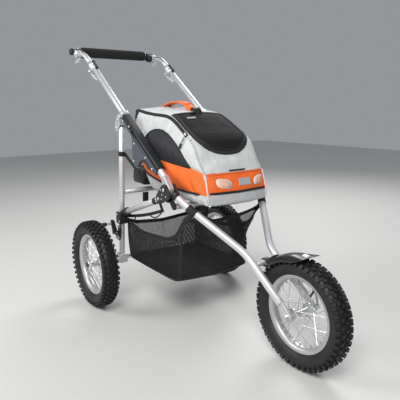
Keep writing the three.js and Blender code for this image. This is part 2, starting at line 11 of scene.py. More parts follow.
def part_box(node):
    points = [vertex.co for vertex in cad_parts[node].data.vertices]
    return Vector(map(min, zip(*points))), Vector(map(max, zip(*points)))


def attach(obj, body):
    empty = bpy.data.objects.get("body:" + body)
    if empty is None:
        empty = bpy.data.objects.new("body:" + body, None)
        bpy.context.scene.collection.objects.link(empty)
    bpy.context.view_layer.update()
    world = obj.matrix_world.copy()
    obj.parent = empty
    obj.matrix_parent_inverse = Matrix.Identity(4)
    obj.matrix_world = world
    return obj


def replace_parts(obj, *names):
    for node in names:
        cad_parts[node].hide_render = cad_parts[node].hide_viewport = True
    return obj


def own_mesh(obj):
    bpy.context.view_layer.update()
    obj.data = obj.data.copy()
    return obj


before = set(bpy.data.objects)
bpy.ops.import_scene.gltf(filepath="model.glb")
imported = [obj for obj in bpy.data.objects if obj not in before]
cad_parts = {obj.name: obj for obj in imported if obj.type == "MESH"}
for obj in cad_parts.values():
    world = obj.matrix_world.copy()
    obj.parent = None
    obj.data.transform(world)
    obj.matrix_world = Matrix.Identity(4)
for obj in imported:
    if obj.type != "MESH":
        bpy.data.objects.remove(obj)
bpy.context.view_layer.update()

# ---------------------------------------------------------------- camera
# The eye stands ahead of the stroller and to its right, at the height of the carrier's roof, and looks back
# and slightly down along it. It leans by half a degree.
camera_azimuth = math.radians(54.45)
camera_elevation = math.radians(11.41)
camera_lean = math.radians(-0.494)
camera_level = Vector((math.cos(camera_azimuth), math.sin(camera_azimuth), 0.0))
camera_back = Vector((math.sin(camera_azimuth) * math.cos(camera_elevation),
    -math.cos(camera_azimuth) * math.cos(camera_elevation), math.sin(camera_elevation)))
camera_over = camera_back.cross(camera_level)
camera_right = camera_level * math.cos(camera_lean) + camera_over * math.sin(camera_lean)
camera_up = camera_over * math.cos(camera_lean) - camera_level * math.sin(camera_lean)
camera_lens = bpy.data.cameras.new("camera")
camera_lens.lens = 41.27
camera_lens.sensor_width = 36.0
camera = bpy.data.objects.new("camera", camera_lens)
bpy.context.scene.collection.objects.link(camera)
camera.matrix_world = Matrix.Translation((1.2588, -0.8909, 0.7034)) @ Matrix((camera_right, camera_up,
    camera_back)).transposed().to_4x4()
bpy.context.scene.camera = camera

# ---------------------------------------------------------------- rear posts
# Two upright tubes of bright drawn aluminium, 20 mm across, one each side. Each stands in a foot block on the
# rear axle and ends in a black plastic plug under the hook bracket.
axle_low, axle_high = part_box("rear_axle")
axle_x = (axle_low[0] + axle_high[0]) / 2


def place(x, y, z):
    """A point in millimetres from the rear axle, on the floor, as a point of the frame."""
    return Vector((axle_x + x / 1000, y / 1000, z / 1000))


# The stroller's joint and axle centres as seen from its side: x and z in millimetres.
upper_pivot, lower_pivot = (331, 459), (299, 428)
tilt_pivot, bar_axis = (-336, 916), (-368, 928)
front_hub, cross_bar = (721, 156), (584, 264)
hub_height = 156


def linked(name, data):
    """A new object in the scene."""
    made = bpy.data.objects.new(name, data)
    bpy.context.scene.collection.objects.link(made)
    return made


@contextmanager
def edited(mesh):
    """Opens a mesh for editing, and writes it back at the end."""
    opened = bmesh.new()
    opened.from_mesh(mesh)
    yield opened
    opened.to_mesh(mesh)
    opened.free()


def bands(rows, count):
    """Faces that join closed rows of points, each row with the same count."""
    return [(i * count + k, i * count + (k + 1) % count, (i + 1) * count + (k + 1) % count,
        (i + 1) * count + k) for i in range(rows - 1) for k in range(count)]


def capped(rows, count):
    """The same faces, with one more over the first row and over the last."""
    return bands(rows, count) + [tuple(range(count)), tuple(range((rows - 1) * count, rows * count))]


def mesh_piece(name, points, faces, smooth=True):
    """A named object in the frame from points in metres, with its faces turned outwards."""
    mesh = bpy.data.meshes.new(name)
    mesh.from_pydata([tuple(p) for p in points], [], faces)
    with edited(mesh) as opened:
        bmesh.ops.remove_doubles(opened, verts=opened.verts, dist=1e-6)
        bmesh.ops.recalc_face_normals(opened, faces=opened.faces)
        for face in opened.faces:
            face.smooth = smooth
    return linked(name, mesh)


def cloth_piece(name, points, faces, flat):
    """A smooth piece of cloth, with a UV map that says where each point lies when it is flat, in metres."""
    mesh = bpy.data.meshes.new(name)
    mesh.from_pydata([tuple(p) for p in points], [], faces)
    mesh.polygons.foreach_set("use_smooth", [True] * len(faces))
    laid = mesh.uv_layers.new(name="cloth")
    laid.data.foreach_set("uv", [c for loop in mesh.loops for c in flat[loop.vertex_index]])
    return linked(name, mesh)


def modify(piece, kind, **settings):
    """Adds a modifier to a piece and sets it up."""
    added = piece.modifiers.new(kind.lower(), kind)
    for key, value in settings.items():
        setattr(added, key, value)
    return added


def settle(piece):
    """Applies a piece's modifiers to its mesh."""
    done = bpy.data.meshes.new_from_object(piece.evaluated_get(bpy.context.evaluated_depsgraph_get()))
    piece.modifiers.clear()
    piece.data = done
    return piece


def drawn_tube(name, path, radius, sides=28, up=None, flat=1.0):
    """A round or flattened bar swept along a path of points, with a small chamfer at each end."""
    if len(path) == 2:
        path = [path[0], (path[0] + path[1]) / 2, path[1]]
    steps = [path[1] - path[0]] + [path[i + 1] - path[i - 1] for i in range(1, len(path) - 1)]
    steps.append(path[-1] - path[-2])
    across = (up or (Vector((0, 1, 0)) if abs(steps[0].normalized().y) < 0.9 else Vector((0, 0, 1)))).copy()
    stations = []
    for point, step in zip(path, steps):
        along = step.normalized()
        across = (across - along * across.dot(along)).normalized()
        stations.append((point, across.copy(), along.cross(across)))
    chamfer = min(radius * 0.18, 0.0012)
    first = stations[0][0] + (path[1] - path[0]).normalized() * chamfer
    last = stations[-1][0] - (path[-1] - path[-2]).normalized() * chamfer
    rings = [(stations[0][0], stations[0][1], stations[0][2], radius - chamfer),
        (first, stations[0][1], stations[0][2], radius)]
    rings += [(p, a, b, radius) for p, a, b in stations[1:-1]]
    rings += [(last, stations[-1][1], stations[-1][2], radius), (stations[-1][0], stations[-1][1],
        stations[-1][2], radius - chamfer)]
    points = []
    for middle, a, b, r in rings:
        for k in range(sides):
            turn = 2 * math.pi * k / sides
            points.append(middle + a * (r * math.cos(turn)) + b * (r * flat * math.sin(turn)))
    piece = mesh_piece(name, points, capped(len(rings), sides))
    for polygon in piece.data.polygons:
        if len(polygon.vertices) > 4:
            polygon.use_smooth = False
    return piece


def other_side(piece, name):
    """The same piece on the other side of the stroller, its faces still turned outwards."""
    mesh = piece.data.copy()
    mesh.name = name
    mesh.transform(Matrix.Diagonal((1, -1, 1, 1)))
    mesh.flip_normals()
    return linked(name, mesh)


def fit(piece, finish, body, *nodes, slot=None):
    """Gives a piece its finish, the body that carries it, and the solids that it stands for. Its slot is not
    used.
    """
    piece.data.materials.clear()
    piece.data.materials.append(finish)
    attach(piece, body)
    if nodes:
        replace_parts(piece, *nodes)
    return piece


def fit_pair(piece, finish, body, *nodes, slot=None):
    """Fits a right-hand piece and its left-hand twin. Names with {side} take left or right."""
    twin = other_side(piece, piece.name.replace("right", "left"))
    for one, side in ((piece, "right"), (twin, "left")):
        fit(one, finish, body.format(side=side), *[n.format(side=side) for n in nodes], slot=slot)


def shader_group(name, inputs, outputs):
    """An empty shader node group with named number inputs (name: value) and outputs (name: kind)."""
    tree = bpy.data.node_groups.new(name, "ShaderNodeTree")
    for label, value in inputs.items():
        socket = tree.interface.new_socket(label, in_out="INPUT", socket_type="NodeSocketFloat")
        socket.default_value = value
    for label, kind in outputs.items():
        tree.interface.new_socket(label, in_out="OUTPUT", socket_type=kind)
    return tree, tree.nodes.new("NodeGroupInput").outputs, tree.nodes.new("NodeGroupOutput").inputs


def node(tree, kind, links=None, **settings):
    """Adds a node. Settings are its properties; links are its inputs, each a value or another socket."""
    made = tree.nodes.new(kind)
    for key, value in settings.items():
        setattr(made, key, value)
    for key, value in (links or {}).items():
        if isinstance(value, bpy.types.NodeSocket):
            tree.links.new(value, made.inputs[key])
        else:
            made.inputs[key].default_value = value
    return made

def maths(tree, operation, *values):
    """One step of arithmetic in a node tree; returns its result."""
    return node(tree, "ShaderNodeMath", dict(enumerate(values)), operation=operation).outputs[0]


def remap(tree, value, low, high, to_low=0.0, to_high=1.0):
    """A value moved from one range to another, and held inside it."""
    return node(tree, "ShaderNodeMapRange", {"Value": value, "From Min": low, "From Max": high,
        "To Min": to_low, "To Max": to_high}).outputs[0]


def clouds(tree, where, scale, detail=2.0, **more):
    """Noise at a place, as one number."""
    return node(tree, "ShaderNodeTexNoise", {"Vector": where, "Scale": scale, "Detail": detail,
        **more}).outputs["Fac"]


def blend(tree, factor, first, second):
    """A colour between two, nearer the second as the factor rises."""
    return node(tree, "ShaderNodeMix", {"Factor": factor, 6: first, 7: second}, data_type="RGBA").outputs[2]


def tinted(tree, colour, tone):
    """A colour made lighter or darker by a tone."""
    return node(tree, "ShaderNodeVectorMath", {0: colour, "Scale": tone}, operation="SCALE").outputs[0]


def blank_finish(name, **inputs):
    """A new material with these shader inputs set, its node tree, and its shader's inputs."""
    finish = bpy.data.materials.new(name)
    finish.use_nodes = True
    shader = finish.node_tree.nodes["Principled BSDF"]
    for key, value in inputs.items():
        shader.inputs[key.replace("_", " ")].default_value = value
    return finish, finish.node_tree, shader.inputs


def emboss(tree, inputs, height, strength, distance):
    """Raises a finish's surface by a height, over a distance in metres."""
    bump = node(tree, "ShaderNodeBump", {"Height": height, "Strength": strength, "Distance": distance})
    tree.links.new(bump.outputs[0], inputs["Normal"])


def spot_of(tree, kind="Object"):
    """Where a point lies: on the object, or on its flat cloth (UV)."""
    return node(tree, "ShaderNodeTexCoord").outputs[kind]


# Scuffs: short fine scratches and rubbed patches, on metal and plastic alike.
scuffs, scuff_in, scuff_out = shader_group("scuffs", {"Amount": 0.3}, {"Mask": "NodeSocketFloat"})
scuff_lines = clouds(scuffs, spot_of(scuffs), 60.0, 6.0, Roughness=0.7, Distortion=1.4)
scuff_patch = clouds(scuffs, spot_of(scuffs), 14.0, 3.0)
scuff_both = maths(scuffs, "MULTIPLY", remap(scuffs, scuff_lines, 0.58, 0.7),
    remap(scuffs, scuff_patch, 0.45, 0.7))
scuffs.links.new(maths(scuffs, "MULTIPLY", scuff_both, scuff_in["Amount"]), scuff_out["Mask"])

# Road dust: pale grit that settles low on the stroller.
dust, dust_in, dust_out = shader_group("road_dust", {"Amount": 0.3, "Height": 0.3},
    {"Mask": "NodeSocketFloat"})
dust_grit = clouds(dust, spot_of(dust), 35.0, 8.0, Roughness=0.65)
dust_level = node(dust, "ShaderNodeSeparateXYZ", {0: spot_of(dust)})
dust_low = remap(dust, dust_level.outputs["Z"], 0.0, dust_in["Height"], 1.0, 0.15)
dust_mix = maths(dust, "MULTIPLY", dust_low, remap(dust, dust_grit, 0.42, 0.75))
dust.links.new(maths(dust, "MULTIPLY", dust_mix, dust_in["Amount"]), dust_out["Mask"])
dust_colour = (0.34, 0.3, 0.25, 1)


def surface(name, colour, roughness, metallic=0.0, worn=None, scuff=0.3, dusty=0.15, grain=0.0,
        grain_scale=900.0, **fixed):
    """A painted, plated or moulded finish: base colour, scuffs in the worn colour, grain, and dust."""
    finish, tree, inputs = blank_finish(name, Metallic=metallic, **fixed)
    mottle = clouds(tree, spot_of(tree), 22.0, 4.0)
    base = tinted(tree, colour, remap(tree, mottle, 0.0, 1.0, 0.9, 1.08))
    rub = node(tree, "ShaderNodeGroup", {"Amount": scuff}, node_tree=scuffs).outputs["Mask"]
    rubbed = blend(tree, rub, base, (*(worn or [min(1, 1.6 * c + 0.06) for c in colour]), 1))
    grit = node(tree, "ShaderNodeGroup", {"Amount": dusty}, node_tree=dust).outputs["Mask"]
    tree.links.new(blend(tree, grit, rubbed, dust_colour), inputs["Base Color"])
    rough = maths(tree, "MULTIPLY_ADD", rub, 0.15, roughness)
    tree.links.new(maths(tree, "MULTIPLY_ADD", mottle, 0.1, rough), inputs["Roughness"])
    fine = clouds(tree, spot_of(tree), grain_scale)
    emboss(tree, inputs, maths(tree, "MULTIPLY_ADD", fine, grain, rub), 0.25, 0.0001 if metallic else 0.0005)
    return finish


bright_alloy = surface("bright_alloy", (0.70, 0.705, 0.715), 0.36, 0.62, worn=(0.6, 0.6, 0.6), scuff=0.35,
    grain=0.5, grain_scale=260.0, dusty=0.1)
moulded_black = surface("moulded_black", (0.011, 0.0115, 0.013), 0.42, scuff=0.35, grain=0.9, dusty=0.2)
post_r = 0.010


def post_x(z):
    """How far forward of the rear axle the posts stand at a height, in millimetres."""
    return -2 + 40 * (z - 172) / 468


def post_at(z):
    """The middle of the right-hand post at a height, in millimetres."""
    return place(post_x(z), -175, z)


fit_pair(drawn_tube("rear_post_tube_right", [post_at(177.2), post_at(400), post_at(641)], post_r, 36),
    bright_alloy, "rear_frame", "rear_post_{side}")
fit_pair(drawn_tube("post_plug_right", [post_at(641.2), post_at(643), post_at(645)], 0.0088, 28),
    moulded_black, "rear_frame")

# ---------------------------------------------------------------- foot blocks
# Cast aluminium blocks that hold the posts' feet and the rear axle, with rounded corners and two set screws
# on the outer face. The casting is shot-blasted, so it is duller than the tubes.


def hull_of(circles, steps=40):
    """The outline of a tight band round circles, each (x, z, radius) in millimetres."""
    dots = sorted({(round(x + r * math.cos(2 * math.pi * k / steps), 5),
        round(z + r * math.sin(2 * math.pi * k / steps), 5)) for x, z, r in circles for k in range(steps)})

    def chain(row):
        hull = []
        for p in row:
            while len(hull) > 1 and ((hull[-1][0] - hull[-2][0]) * (p[1] - hull[-2][1])
                                     - (hull[-1][1] - hull[-2][1]) * (p[0] - hull[-2][0])) <= 1e-6:
                hull.pop()
            hull.append(p)
        return hull
    return chain(dots)[:-1] + chain(dots[::-1])[:-1]


def pressed_plate(name, outline, y_inner, y_outer, edge=1.0, steps=2):
    """A plate on the right-hand side: an outline in x and z, from y_inner to y_outer, with rounded edges."""
    count = len(outline)
    points = [place(x, y, z) for y in (-y_inner, -y_outer) for x, z in outline]
    faces = [tuple(range(count)), tuple(range(2 * count - 1, count - 1, -1))] + bands(2, count)
    plate = mesh_piece(name, points, faces)
    with edited(plate.data) as solid:
        rim = [e for e in solid.edges if any(len(f.verts) > 4 or len(f.verts) == count for f in e.link_faces)
            and e.calc_face_angle(0) > 0.8]
        bmesh.ops.bevel(solid, geom=rim, offset=edge / 1000, segments=steps, affect="EDGES", profile=0.6,
            clamp_overlap=True)
        bmesh.ops.recalc_face_normals(solid, faces=solid.faces)
    for polygon in plate.data.polygons:
        polygon.use_smooth = abs(polygon.normal.y) < 0.999
    return plate


def rounded(width, height, corner, x=0.0, z=0.0, steps=5):
    """A rounded rectangle's outline round (x, z), in millimetres."""
    outline = []
    for i, (sx, sz) in enumerate(((1, 1), (-1, 1), (-1, -1), (1, -1))):
        for k in range(steps + 1):
            a = math.pi / 2 * (i + k / steps)
            outline.append((x + sx * (width / 2 - corner) + corner * math.cos(a),
                z + sz * (height / 2 - corner) + corner * math.sin(a)))
    return outline


def nodes_tree(name, inputs):
    """A geometry node tree with a mesh in, a mesh out and named inputs (name: (kind, value))."""
    tree = bpy.data.node_groups.new(name, "GeometryNodeTree")
    tree.interface.new_socket("Geometry", in_out="INPUT", socket_type="NodeSocketGeometry")
    for label, (kind, value) in inputs.items():
        socket = tree.interface.new_socket(label, in_out="INPUT", socket_type="NodeSocket" + kind)
        if value is not None:
            socket.default_value = value
    tree.interface.new_socket("Geometry", in_out="OUTPUT", socket_type="NodeSocketGeometry")
    return tree, tree.nodes.new("NodeGroupInput").outputs, tree.nodes.new("NodeGroupOutput").inputs


def end_tree(tree, ending, geometry, material):
    """Every tree ends in real geometry with its material."""
    real = node(tree, "GeometryNodeRealizeInstances", {"Geometry": geometry})
    painted = node(tree, "GeometryNodeSetMaterial", {"Geometry": real.outputs[0], "Material": material})
    tree.links.new(painted.outputs[0], ending["Geometry"])


def around(tree, turn, radius, offset):
    """A point turned about the Y axis at a radius, and moved along that axis by the offset."""
    return node(tree, "ShaderNodeCombineXYZ", {"X": maths(tree, "MULTIPLY", maths(tree, "COSINE", turn),
        radius), "Y": offset, "Z": maths(tree, "MULTIPLY", maths(tree, "SINE", turn), radius)})


def grow(tree, name, finish, seed=None, **values):
    """Runs a geometry node tree on a seed mesh and returns the result as a plain mesh object."""
    holder = linked(name, seed or bpy.data.meshes.new(name))
    modifier = holder.modifiers.new("grow", "NODES")
    modifier.node_group = tree
    for item in tree.interface.items_tree:
        if item.in_out != "INPUT" or item.name == "Geometry":
            continue
        if item.name == "Material":
            modifier[item.identifier] = finish
        elif item.name in values:
            modifier[item.identifier] = values[item.name]
    bpy.context.view_layer.update()
    grown = bpy.data.meshes.new_from_object(holder.evaluated_get(bpy.context.evaluated_depsgraph_get()))
    holder.modifiers.clear()
    grown.name = name
    holder.data = grown
    for polygon in grown.polygons:
        polygon.use_smooth = False
    return holder


# Bolt and rivet heads: a short many-sided head with a narrower crown, one at each point, facing its way.
heads, heads_in, heads_out = nodes_tree("fastener_heads", {"Radius": ("Float", 0.004),
    "Height": ("Float", 0.002), "Sides": ("Int", 6), "Material": ("Material", None)})
head_stem = node(heads, "GeometryNodeMeshCylinder", {"Vertices": heads_in["Sides"],
    "Radius": heads_in["Radius"], "Depth": heads_in["Height"]})
head_crown = node(heads, "GeometryNodeMeshCone", {"Vertices": heads_in["Sides"],
    "Radius Bottom": heads_in["Radius"], "Radius Top": maths(heads, "MULTIPLY", heads_in["Radius"], 0.62),
    "Depth": maths(heads, "MULTIPLY", heads_in["Height"], 0.45)})
crown_lift = node(heads, "ShaderNodeCombineXYZ", {"Z": maths(heads, "MULTIPLY", heads_in["Height"], 0.5)})
crown_up = node(heads, "GeometryNodeTransform", {"Geometry": head_crown.outputs["Mesh"],
    "Translation": crown_lift.outputs[0]})
whole_head = node(heads, "GeometryNodeJoinGeometry")
heads.links.new(head_stem.outputs["Mesh"], whole_head.inputs[0])
heads.links.new(crown_up.outputs[0], whole_head.inputs[0])
head_points = node(heads, "GeometryNodeMeshToPoints", {"Mesh": heads_in["Geometry"]})
head_facing = node(heads, "GeometryNodeInputNamedAttribute", {"Name": "facing"}, data_type="FLOAT_VECTOR")
head_turn = node(heads, "FunctionNodeAlignRotationToVector", {"Vector": head_facing.outputs[0]}, axis="Z")
placed_heads = node(heads, "GeometryNodeInstanceOnPoints", {"Points": head_points.outputs[0],
    "Instance": whole_head.outputs[0], "Rotation": head_turn.outputs[0]})
end_tree(heads, heads_out, placed_heads.outputs[0], heads_in["Material"])

polished_steel = surface("polished_steel", (0.70, 0.705, 0.71), 0.22, 0.85, worn=(0.5, 0.49, 0.47), scuff=0.4,
    dusty=0.1)


def fasteners(name, spots, radius, height, sides=6, facing=(0, -1, 0)):
    """Heads in millimetres at spots (x, y, z), all facing one way."""
    seed = bpy.data.meshes.new(name)
    seed.from_pydata([tuple(place(*spot)) for spot in spots], [], [])
    ways = seed.attributes.new("facing", "FLOAT_VECTOR", "POINT")
    ways.data.foreach_set("vector", [c for _ in spots for c in facing])
    return grow(heads, name, polished_steel, seed, Radius=radius / 1000, Height=height / 1000, Sides=sides)


cast_alloy = surface("cast_alloy", (0.60, 0.605, 0.615), 0.42, 0.6, worn=(0.7, 0.7, 0.7), scuff=0.25,
    grain=0.4, grain_scale=700.0)
fit_pair(pressed_plate("foot_casting_right", rounded(40, 36, 9, 0, 157.6), 163, 189, 2.5, 3), cast_alloy,
    "rear_frame", "foot_block_{side}")
fit_pair(fasteners("foot_screws_right", [(-12, -189.6, 168), (12, -189.6, 168)], 3, 1.6), polished_steel,
    "rear_frame")

# ---------------------------------------------------------------- rear axle and brace
# A plated steel axle, 16 mm across between the posts and turned down to 11.6 mm for each wheel. An alloy
# brace ties the posts higher up, behind the carrier.


def turned(name, profile, x, z, sides=64):
    """A piece turned about a line across the stroller at (x, z): the profile is [(radius, y), ...]."""
    turns = [2 * math.pi * k / sides for k in range(sides)]
    points = [place(x + r * math.cos(a), y, z + r * math.sin(a)) for r, y in profile for a in turns]
    open_ends = profile[0] != profile[-1] and profile[0][0] > 0
    made = mesh_piece(name, points, (capped if open_ends else bands)(len(profile), sides))
    with edited(made.data) as solid:
        bmesh.ops.dissolve_degenerate(solid, edges=solid.edges, dist=1e-6)
        bmesh.ops.recalc_face_normals(solid, faces=solid.faces)
        for edge in solid.edges:
            edge.smooth = edge.calc_face_angle(0) < 0.6
    return made


axle_profile = [(0, -305), (5.0, -305), (5.8, -304), (5.8, -200), (7.4, -200), (8, -199)]
fit(turned("rear_axle_bar", axle_profile + [(r, -y) for r, y in axle_profile[::-1]], 0, hub_height, 32),
    polished_steel, "rear_frame", "rear_axle")
fit(drawn_tube("rear_brace_tube", [place(18.2, -164.6, 408), place(18.2, 164.6, 408)], 0.009, 32),
    bright_alloy, "rear_frame", "rear_brace")

# ---------------------------------------------------------------- side tubes
# Short bright tubes, 20 mm across, that run from the clamp on each post up to the lower pivot. Their front
# end is flattened round the pivot bolt.
side_start, side_end = place(50, -172, 341), place(284, -172, 423)
fit_pair(drawn_tube("side_tube_bar_right", [side_start, (side_start + side_end) / 2, side_end], 0.010, 36),
    bright_alloy, "rear_frame", "side_tube_{side}")
fit_pair(pressed_plate("side_tube_eye_right", hull_of([(*lower_pivot, 13), (277, 420.4, 9.6)]), 163.4, 180.6,
    2.5, 3), cast_alloy, "rear_frame")

# ---------------------------------------------------------------- lower clamps
# Black moulded clamps that grip the posts and take the side tubes' rear ends. Two bolts close each one, and
# a ribbed collar runs out along the side tube.
clamp_mid_x = post_x(312)
fit_pair(pressed_plate("clamp_block_right", rounded(34, 44, 7, clamp_mid_x, 312), 159.2, 190.8, 3, 3),
    moulded_black, "rear_frame", "lower_clamp_{side}")
collar_along = (side_end - side_start).normalized()
fit_pair(drawn_tube("clamp_collar_right", [place(14, -172, 328.4), (place(14, -172, 328.4) + side_start) / 2,
    side_start + collar_along * 0.006], 0.0135, 32), moulded_black, "rear_frame")
fit_pair(drawn_tube("clamp_ring_right", [side_start - collar_along * 0.004, side_start,
    side_start + collar_along * 0.004], 0.0152, 32), moulded_black, "rear_frame")
fit_pair(fasteners("clamp_bolts_right", [(clamp_mid_x - 9, -191.4, 324), (clamp_mid_x + 9, -191.4, 300)], 4.2,
    2.2), polished_steel, "rear_frame")

# ---------------------------------------------------------------- brakes
# On each post a black bracket carries an upright arm on a plated pin. The arm's rubber pad faces the tyre's
# inner wall, and two bright links hang from the bracket in a V.
fit_pair(pressed_plate("brake_bracket_plate_right", hull_of([(3, 238, 12), (12, 272, 13)]), 185.8, 190, 1.2),
    moulded_black, "rear_frame", "brake_bracket_{side}")
for lug_x, lug_name in ((-2, "rear"), (18, "front")):
    fit_pair(pressed_plate(f"brake_lug_{lug_name}_right", rounded(6, 16, 2, lug_x, 260), 189, 209, 0.8),
        moulded_black, "rear_frame")
fit_pair(drawn_tube("brake_pin_right", [place(-8, -204, 262), place(24, -204, 262)], 0.0028, 16),
    polished_steel, "rear_frame")
for link_name, link_x, link_z in (("a", -9, 232), ("b", 16, 234)):
    fit_pair(drawn_tube(f"brake_link_{link_name}_right", [place(link_x, -193, link_z),
        place(link_x / 2 + 2, -194, 250), place(5, -193, 276)], 0.0022, 12), polished_steel, "rear_frame")
fit_pair(fasteners("bracket_bolts_right", [(3, -190.8, 232), (13, -190.8, 279)], 4.5, 2.4), polished_steel,
    "rear_frame")
arm_outline = hull_of([(204, 262, 7), (212, 302, 6)])
fit_pair(mesh_piece("brake_arm_lever_right", [place(x, -y, z) for x in (2.2, 13.8) for y, z in arm_outline],
    capped(2, len(arm_outline)), False), moulded_black, "{side}_brake_arm", "brake_arm_{side}")
fit_pair(drawn_tube("brake_rod_right", [place(8, -212, 295), place(8, -226, 295), place(8, -238, 295)], 0.004,
    20), polished_steel, "{side}_brake_arm")
pad_rubber = surface("pad_rubber", (0.02, 0.019, 0.018), 0.8, scuff=0.6, grain=2.0, dusty=0.5)
fit_pair(drawn_tube("brake_pad_right", [place(8, -236, 295), place(8, -245, 295), place(8, -253.2, 295)],
    0.0068, 24), pad_rubber, "{side}_brake_arm", slot="black_plastic")

# ---------------------------------------------------------------- tyres
# Three knobbly pneumatic tyres, 312 mm across and 57 mm wide, of black rubber: a smooth casing with rows of
# moulded blocks, the outer rows leaning out over the shoulders. Road dust sits between the blocks.
tread, tread_in, tread_out = nodes_tree("tread_row", {"Count": ("Int", 40), "Radius": ("Float", 0.15),
    "Offset": ("Float", 0.0), "Tilt": ("Float", 0.0), "Phase": ("Float", 0.0), "Along": ("Float", 0.01),
    "Across": ("Float", 0.01), "Tall": ("Float", 0.005), "Taper": ("Float", 0.2),
    "Material": ("Material", None)})
tread_turn = maths(tread, "MULTIPLY_ADD", maths(tread, "DIVIDE", node(tread,
    "GeometryNodeInputIndex").outputs[0], tread_in["Count"]), 2 * math.pi, tread_in["Phase"])
tread_spot = around(tread, tread_turn, tread_in["Radius"], tread_in["Offset"])
tread_points = node(tread, "GeometryNodePoints", {"Count": tread_in["Count"],
    "Position": tread_spot.outputs[0]})
block_size = node(tread, "ShaderNodeCombineXYZ", {"X": tread_in["Along"], "Y": tread_in["Across"],
    "Z": tread_in["Tall"]})
block = node(tread, "GeometryNodeMeshCube", {"Size": block_size.outputs[0]})
block_place = node(tread, "GeometryNodeInputPosition")
block_parts = node(tread, "ShaderNodeSeparateXYZ", {0: block_place.outputs[0]})
block_top = maths(tread, "GREATER_THAN", block_parts.outputs["Z"], 0.0)
block_scale = maths(tread, "SUBTRACT", 1.0, maths(tread, "MULTIPLY", block_top, tread_in["Taper"]))
block_shape = node(tread, "ShaderNodeCombineXYZ", {"X": maths(tread, "MULTIPLY", block_parts.outputs["X"],
    block_scale), "Y": maths(tread, "MULTIPLY", block_parts.outputs["Y"], block_scale),
    "Z": block_parts.outputs["Z"]})
block_cut = node(tread, "GeometryNodeSetPosition", {"Geometry": block.outputs["Mesh"],
    "Position": block_shape.outputs[0]})
block_lean = node(tread, "ShaderNodeCombineXYZ", {"X": tread_in["Tilt"],
    "Y": maths(tread, "SUBTRACT", math.pi / 2, tread_turn)})
placed_blocks = node(tread, "GeometryNodeInstanceOnPoints", {"Points": tread_points.outputs[0],
    "Instance": block_cut.outputs[0], "Rotation": block_lean.outputs[0]})
end_tree(tread, tread_out, placed_blocks.outputs[0], tread_in["Material"])


def joined(name, *pieces):
    """Several meshes made into one piece."""
    whole = bmesh.new()
    for piece in pieces:
        whole.from_mesh(piece.data)
    mesh = bpy.data.meshes.new(name)
    whole.to_mesh(mesh)
    whole.free()
    for piece in pieces:
        bpy.data.objects.remove(piece)
    return linked(name, mesh)


def wheel_copy(piece, name, x, y):
    """A wheel piece made round the frame's origin, set at a wheel's middle in millimetres."""
    mesh = piece.data.copy()
    mesh.name = name
    mesh.transform(Matrix.Translation(place(x, y, hub_height)))
    return linked(name, mesh)


def ring_about_origin(name, profile, sides, closed=True):
    """A ring turned about the Y axis through the frame's origin; the profile is in millimetres."""
    ring = turned(name, profile + ([profile[0]] if closed else []), 0, 0, sides)
    ring.data.transform(Matrix.Translation(-place(0, 0, 0)))
    return ring


tyre_rubber = surface("tyre_rubber", (0.0065, 0.0064, 0.0064), 0.5, scuff=0.4, grain=2.2, grain_scale=420.0,
    worn=(0.02, 0.0195, 0.019), dusty=0.05)
casing_half = [(107.5, 14.5), (112, 20), (119, 25), (128, 27.4), (136, 26.6), (142, 23), (146.8, 17),
    (149.2, 9)]
casing_profile = [(r, -y) for r, y in casing_half] + [(149.8, 0)] + casing_half[::-1]
casing = ring_about_origin("casing", casing_profile, 128)
block_count = 46
blocks = []
for radius, offset, tilt, along, across, tall, shifts in ((0.1518, 0.0048, 0.0, 0.0105, 0.0076, 0.0080,
        (0, 1)), (0.1500, 0.0160, -0.42, 0.0115, 0.0082, 0.0092, (1, 0)),
        (0.1425, 0.0252, -1.0, 0.0095, 0.0115, 0.0086, (0, 1))):
    for side, shift in zip((1, -1), shifts):
        blocks.append(grow(tread, "blocks", tyre_rubber, Count=block_count, Radius=radius,
            Offset=side * offset, Phase=shift * math.pi / block_count, Tilt=side * tilt, Along=along,
            Across=across, Tall=tall, Taper=0.16))
tyre = joined("tyre", casing, *blocks)
wheels = (("front", front_hub[0], 0, "front_wheel", "front_tyre", "front_rim_and_hub"),
    ("rear_left", 0, 285, "left_rear_wheel", "rear_tyre_left", "rear_rim_and_hub_left"),
    ("rear_right", 0, -285, "right_rear_wheel", "rear_tyre_right", "rear_rim_and_hub_right"))
for wheel, wheel_x, wheel_y, wheel_body, tyre_node, rim_node in wheels:
    fit(wheel_copy(tyre, f"{wheel}_tyre_rubber", wheel_x, wheel_y), tyre_rubber, wheel_body, tyre_node,
        slot="tyre_rubber")
bpy.data.objects.remove(tyre)

# ---------------------------------------------------------------- rims, spokes, hubs and valves
# Silver anodised rims of rolled alloy, laced with thin plated wire spokes that cross on their way from the
# hub's two flanges. Each spoke ends in a brass-plated nipple, and a black rubber valve stands in the rim.
lacing, lacing_in, lacing_out = nodes_tree("wire_spokes", {"Count": ("Int", 28),
    "Hub Radius": ("Float", 0.018), "Rim Radius": ("Float", 0.097), "Flange Offset": ("Float", 0.03),
    "Rim Offset": ("Float", 0.002), "Lean": ("Float", 0.9), "Wire Radius": ("Float", 0.0009),
    "Material": ("Material", None)})
spoke_index = node(lacing, "GeometryNodeInputIndex").outputs[0]
spoke_side = maths(lacing, "MULTIPLY_ADD", maths(lacing, "MODULO", spoke_index, 2.0), -2.0, 1.0)
spoke_way = maths(lacing, "MULTIPLY_ADD", maths(lacing, "MODULO", maths(lacing, "FLOOR",
    maths(lacing, "DIVIDE", spoke_index, 2.0)), 2.0), -2.0, 1.0)
spoke_turn = maths(lacing, "MULTIPLY", maths(lacing, "DIVIDE", spoke_index, lacing_in["Count"]), 2 * math.pi)
spoke_lean = maths(lacing, "MULTIPLY_ADD", spoke_way, lacing_in["Lean"], spoke_turn)
spoke_foot = around(lacing, spoke_lean, lacing_in["Hub Radius"], maths(lacing, "MULTIPLY", spoke_side,
    lacing_in["Flange Offset"]))
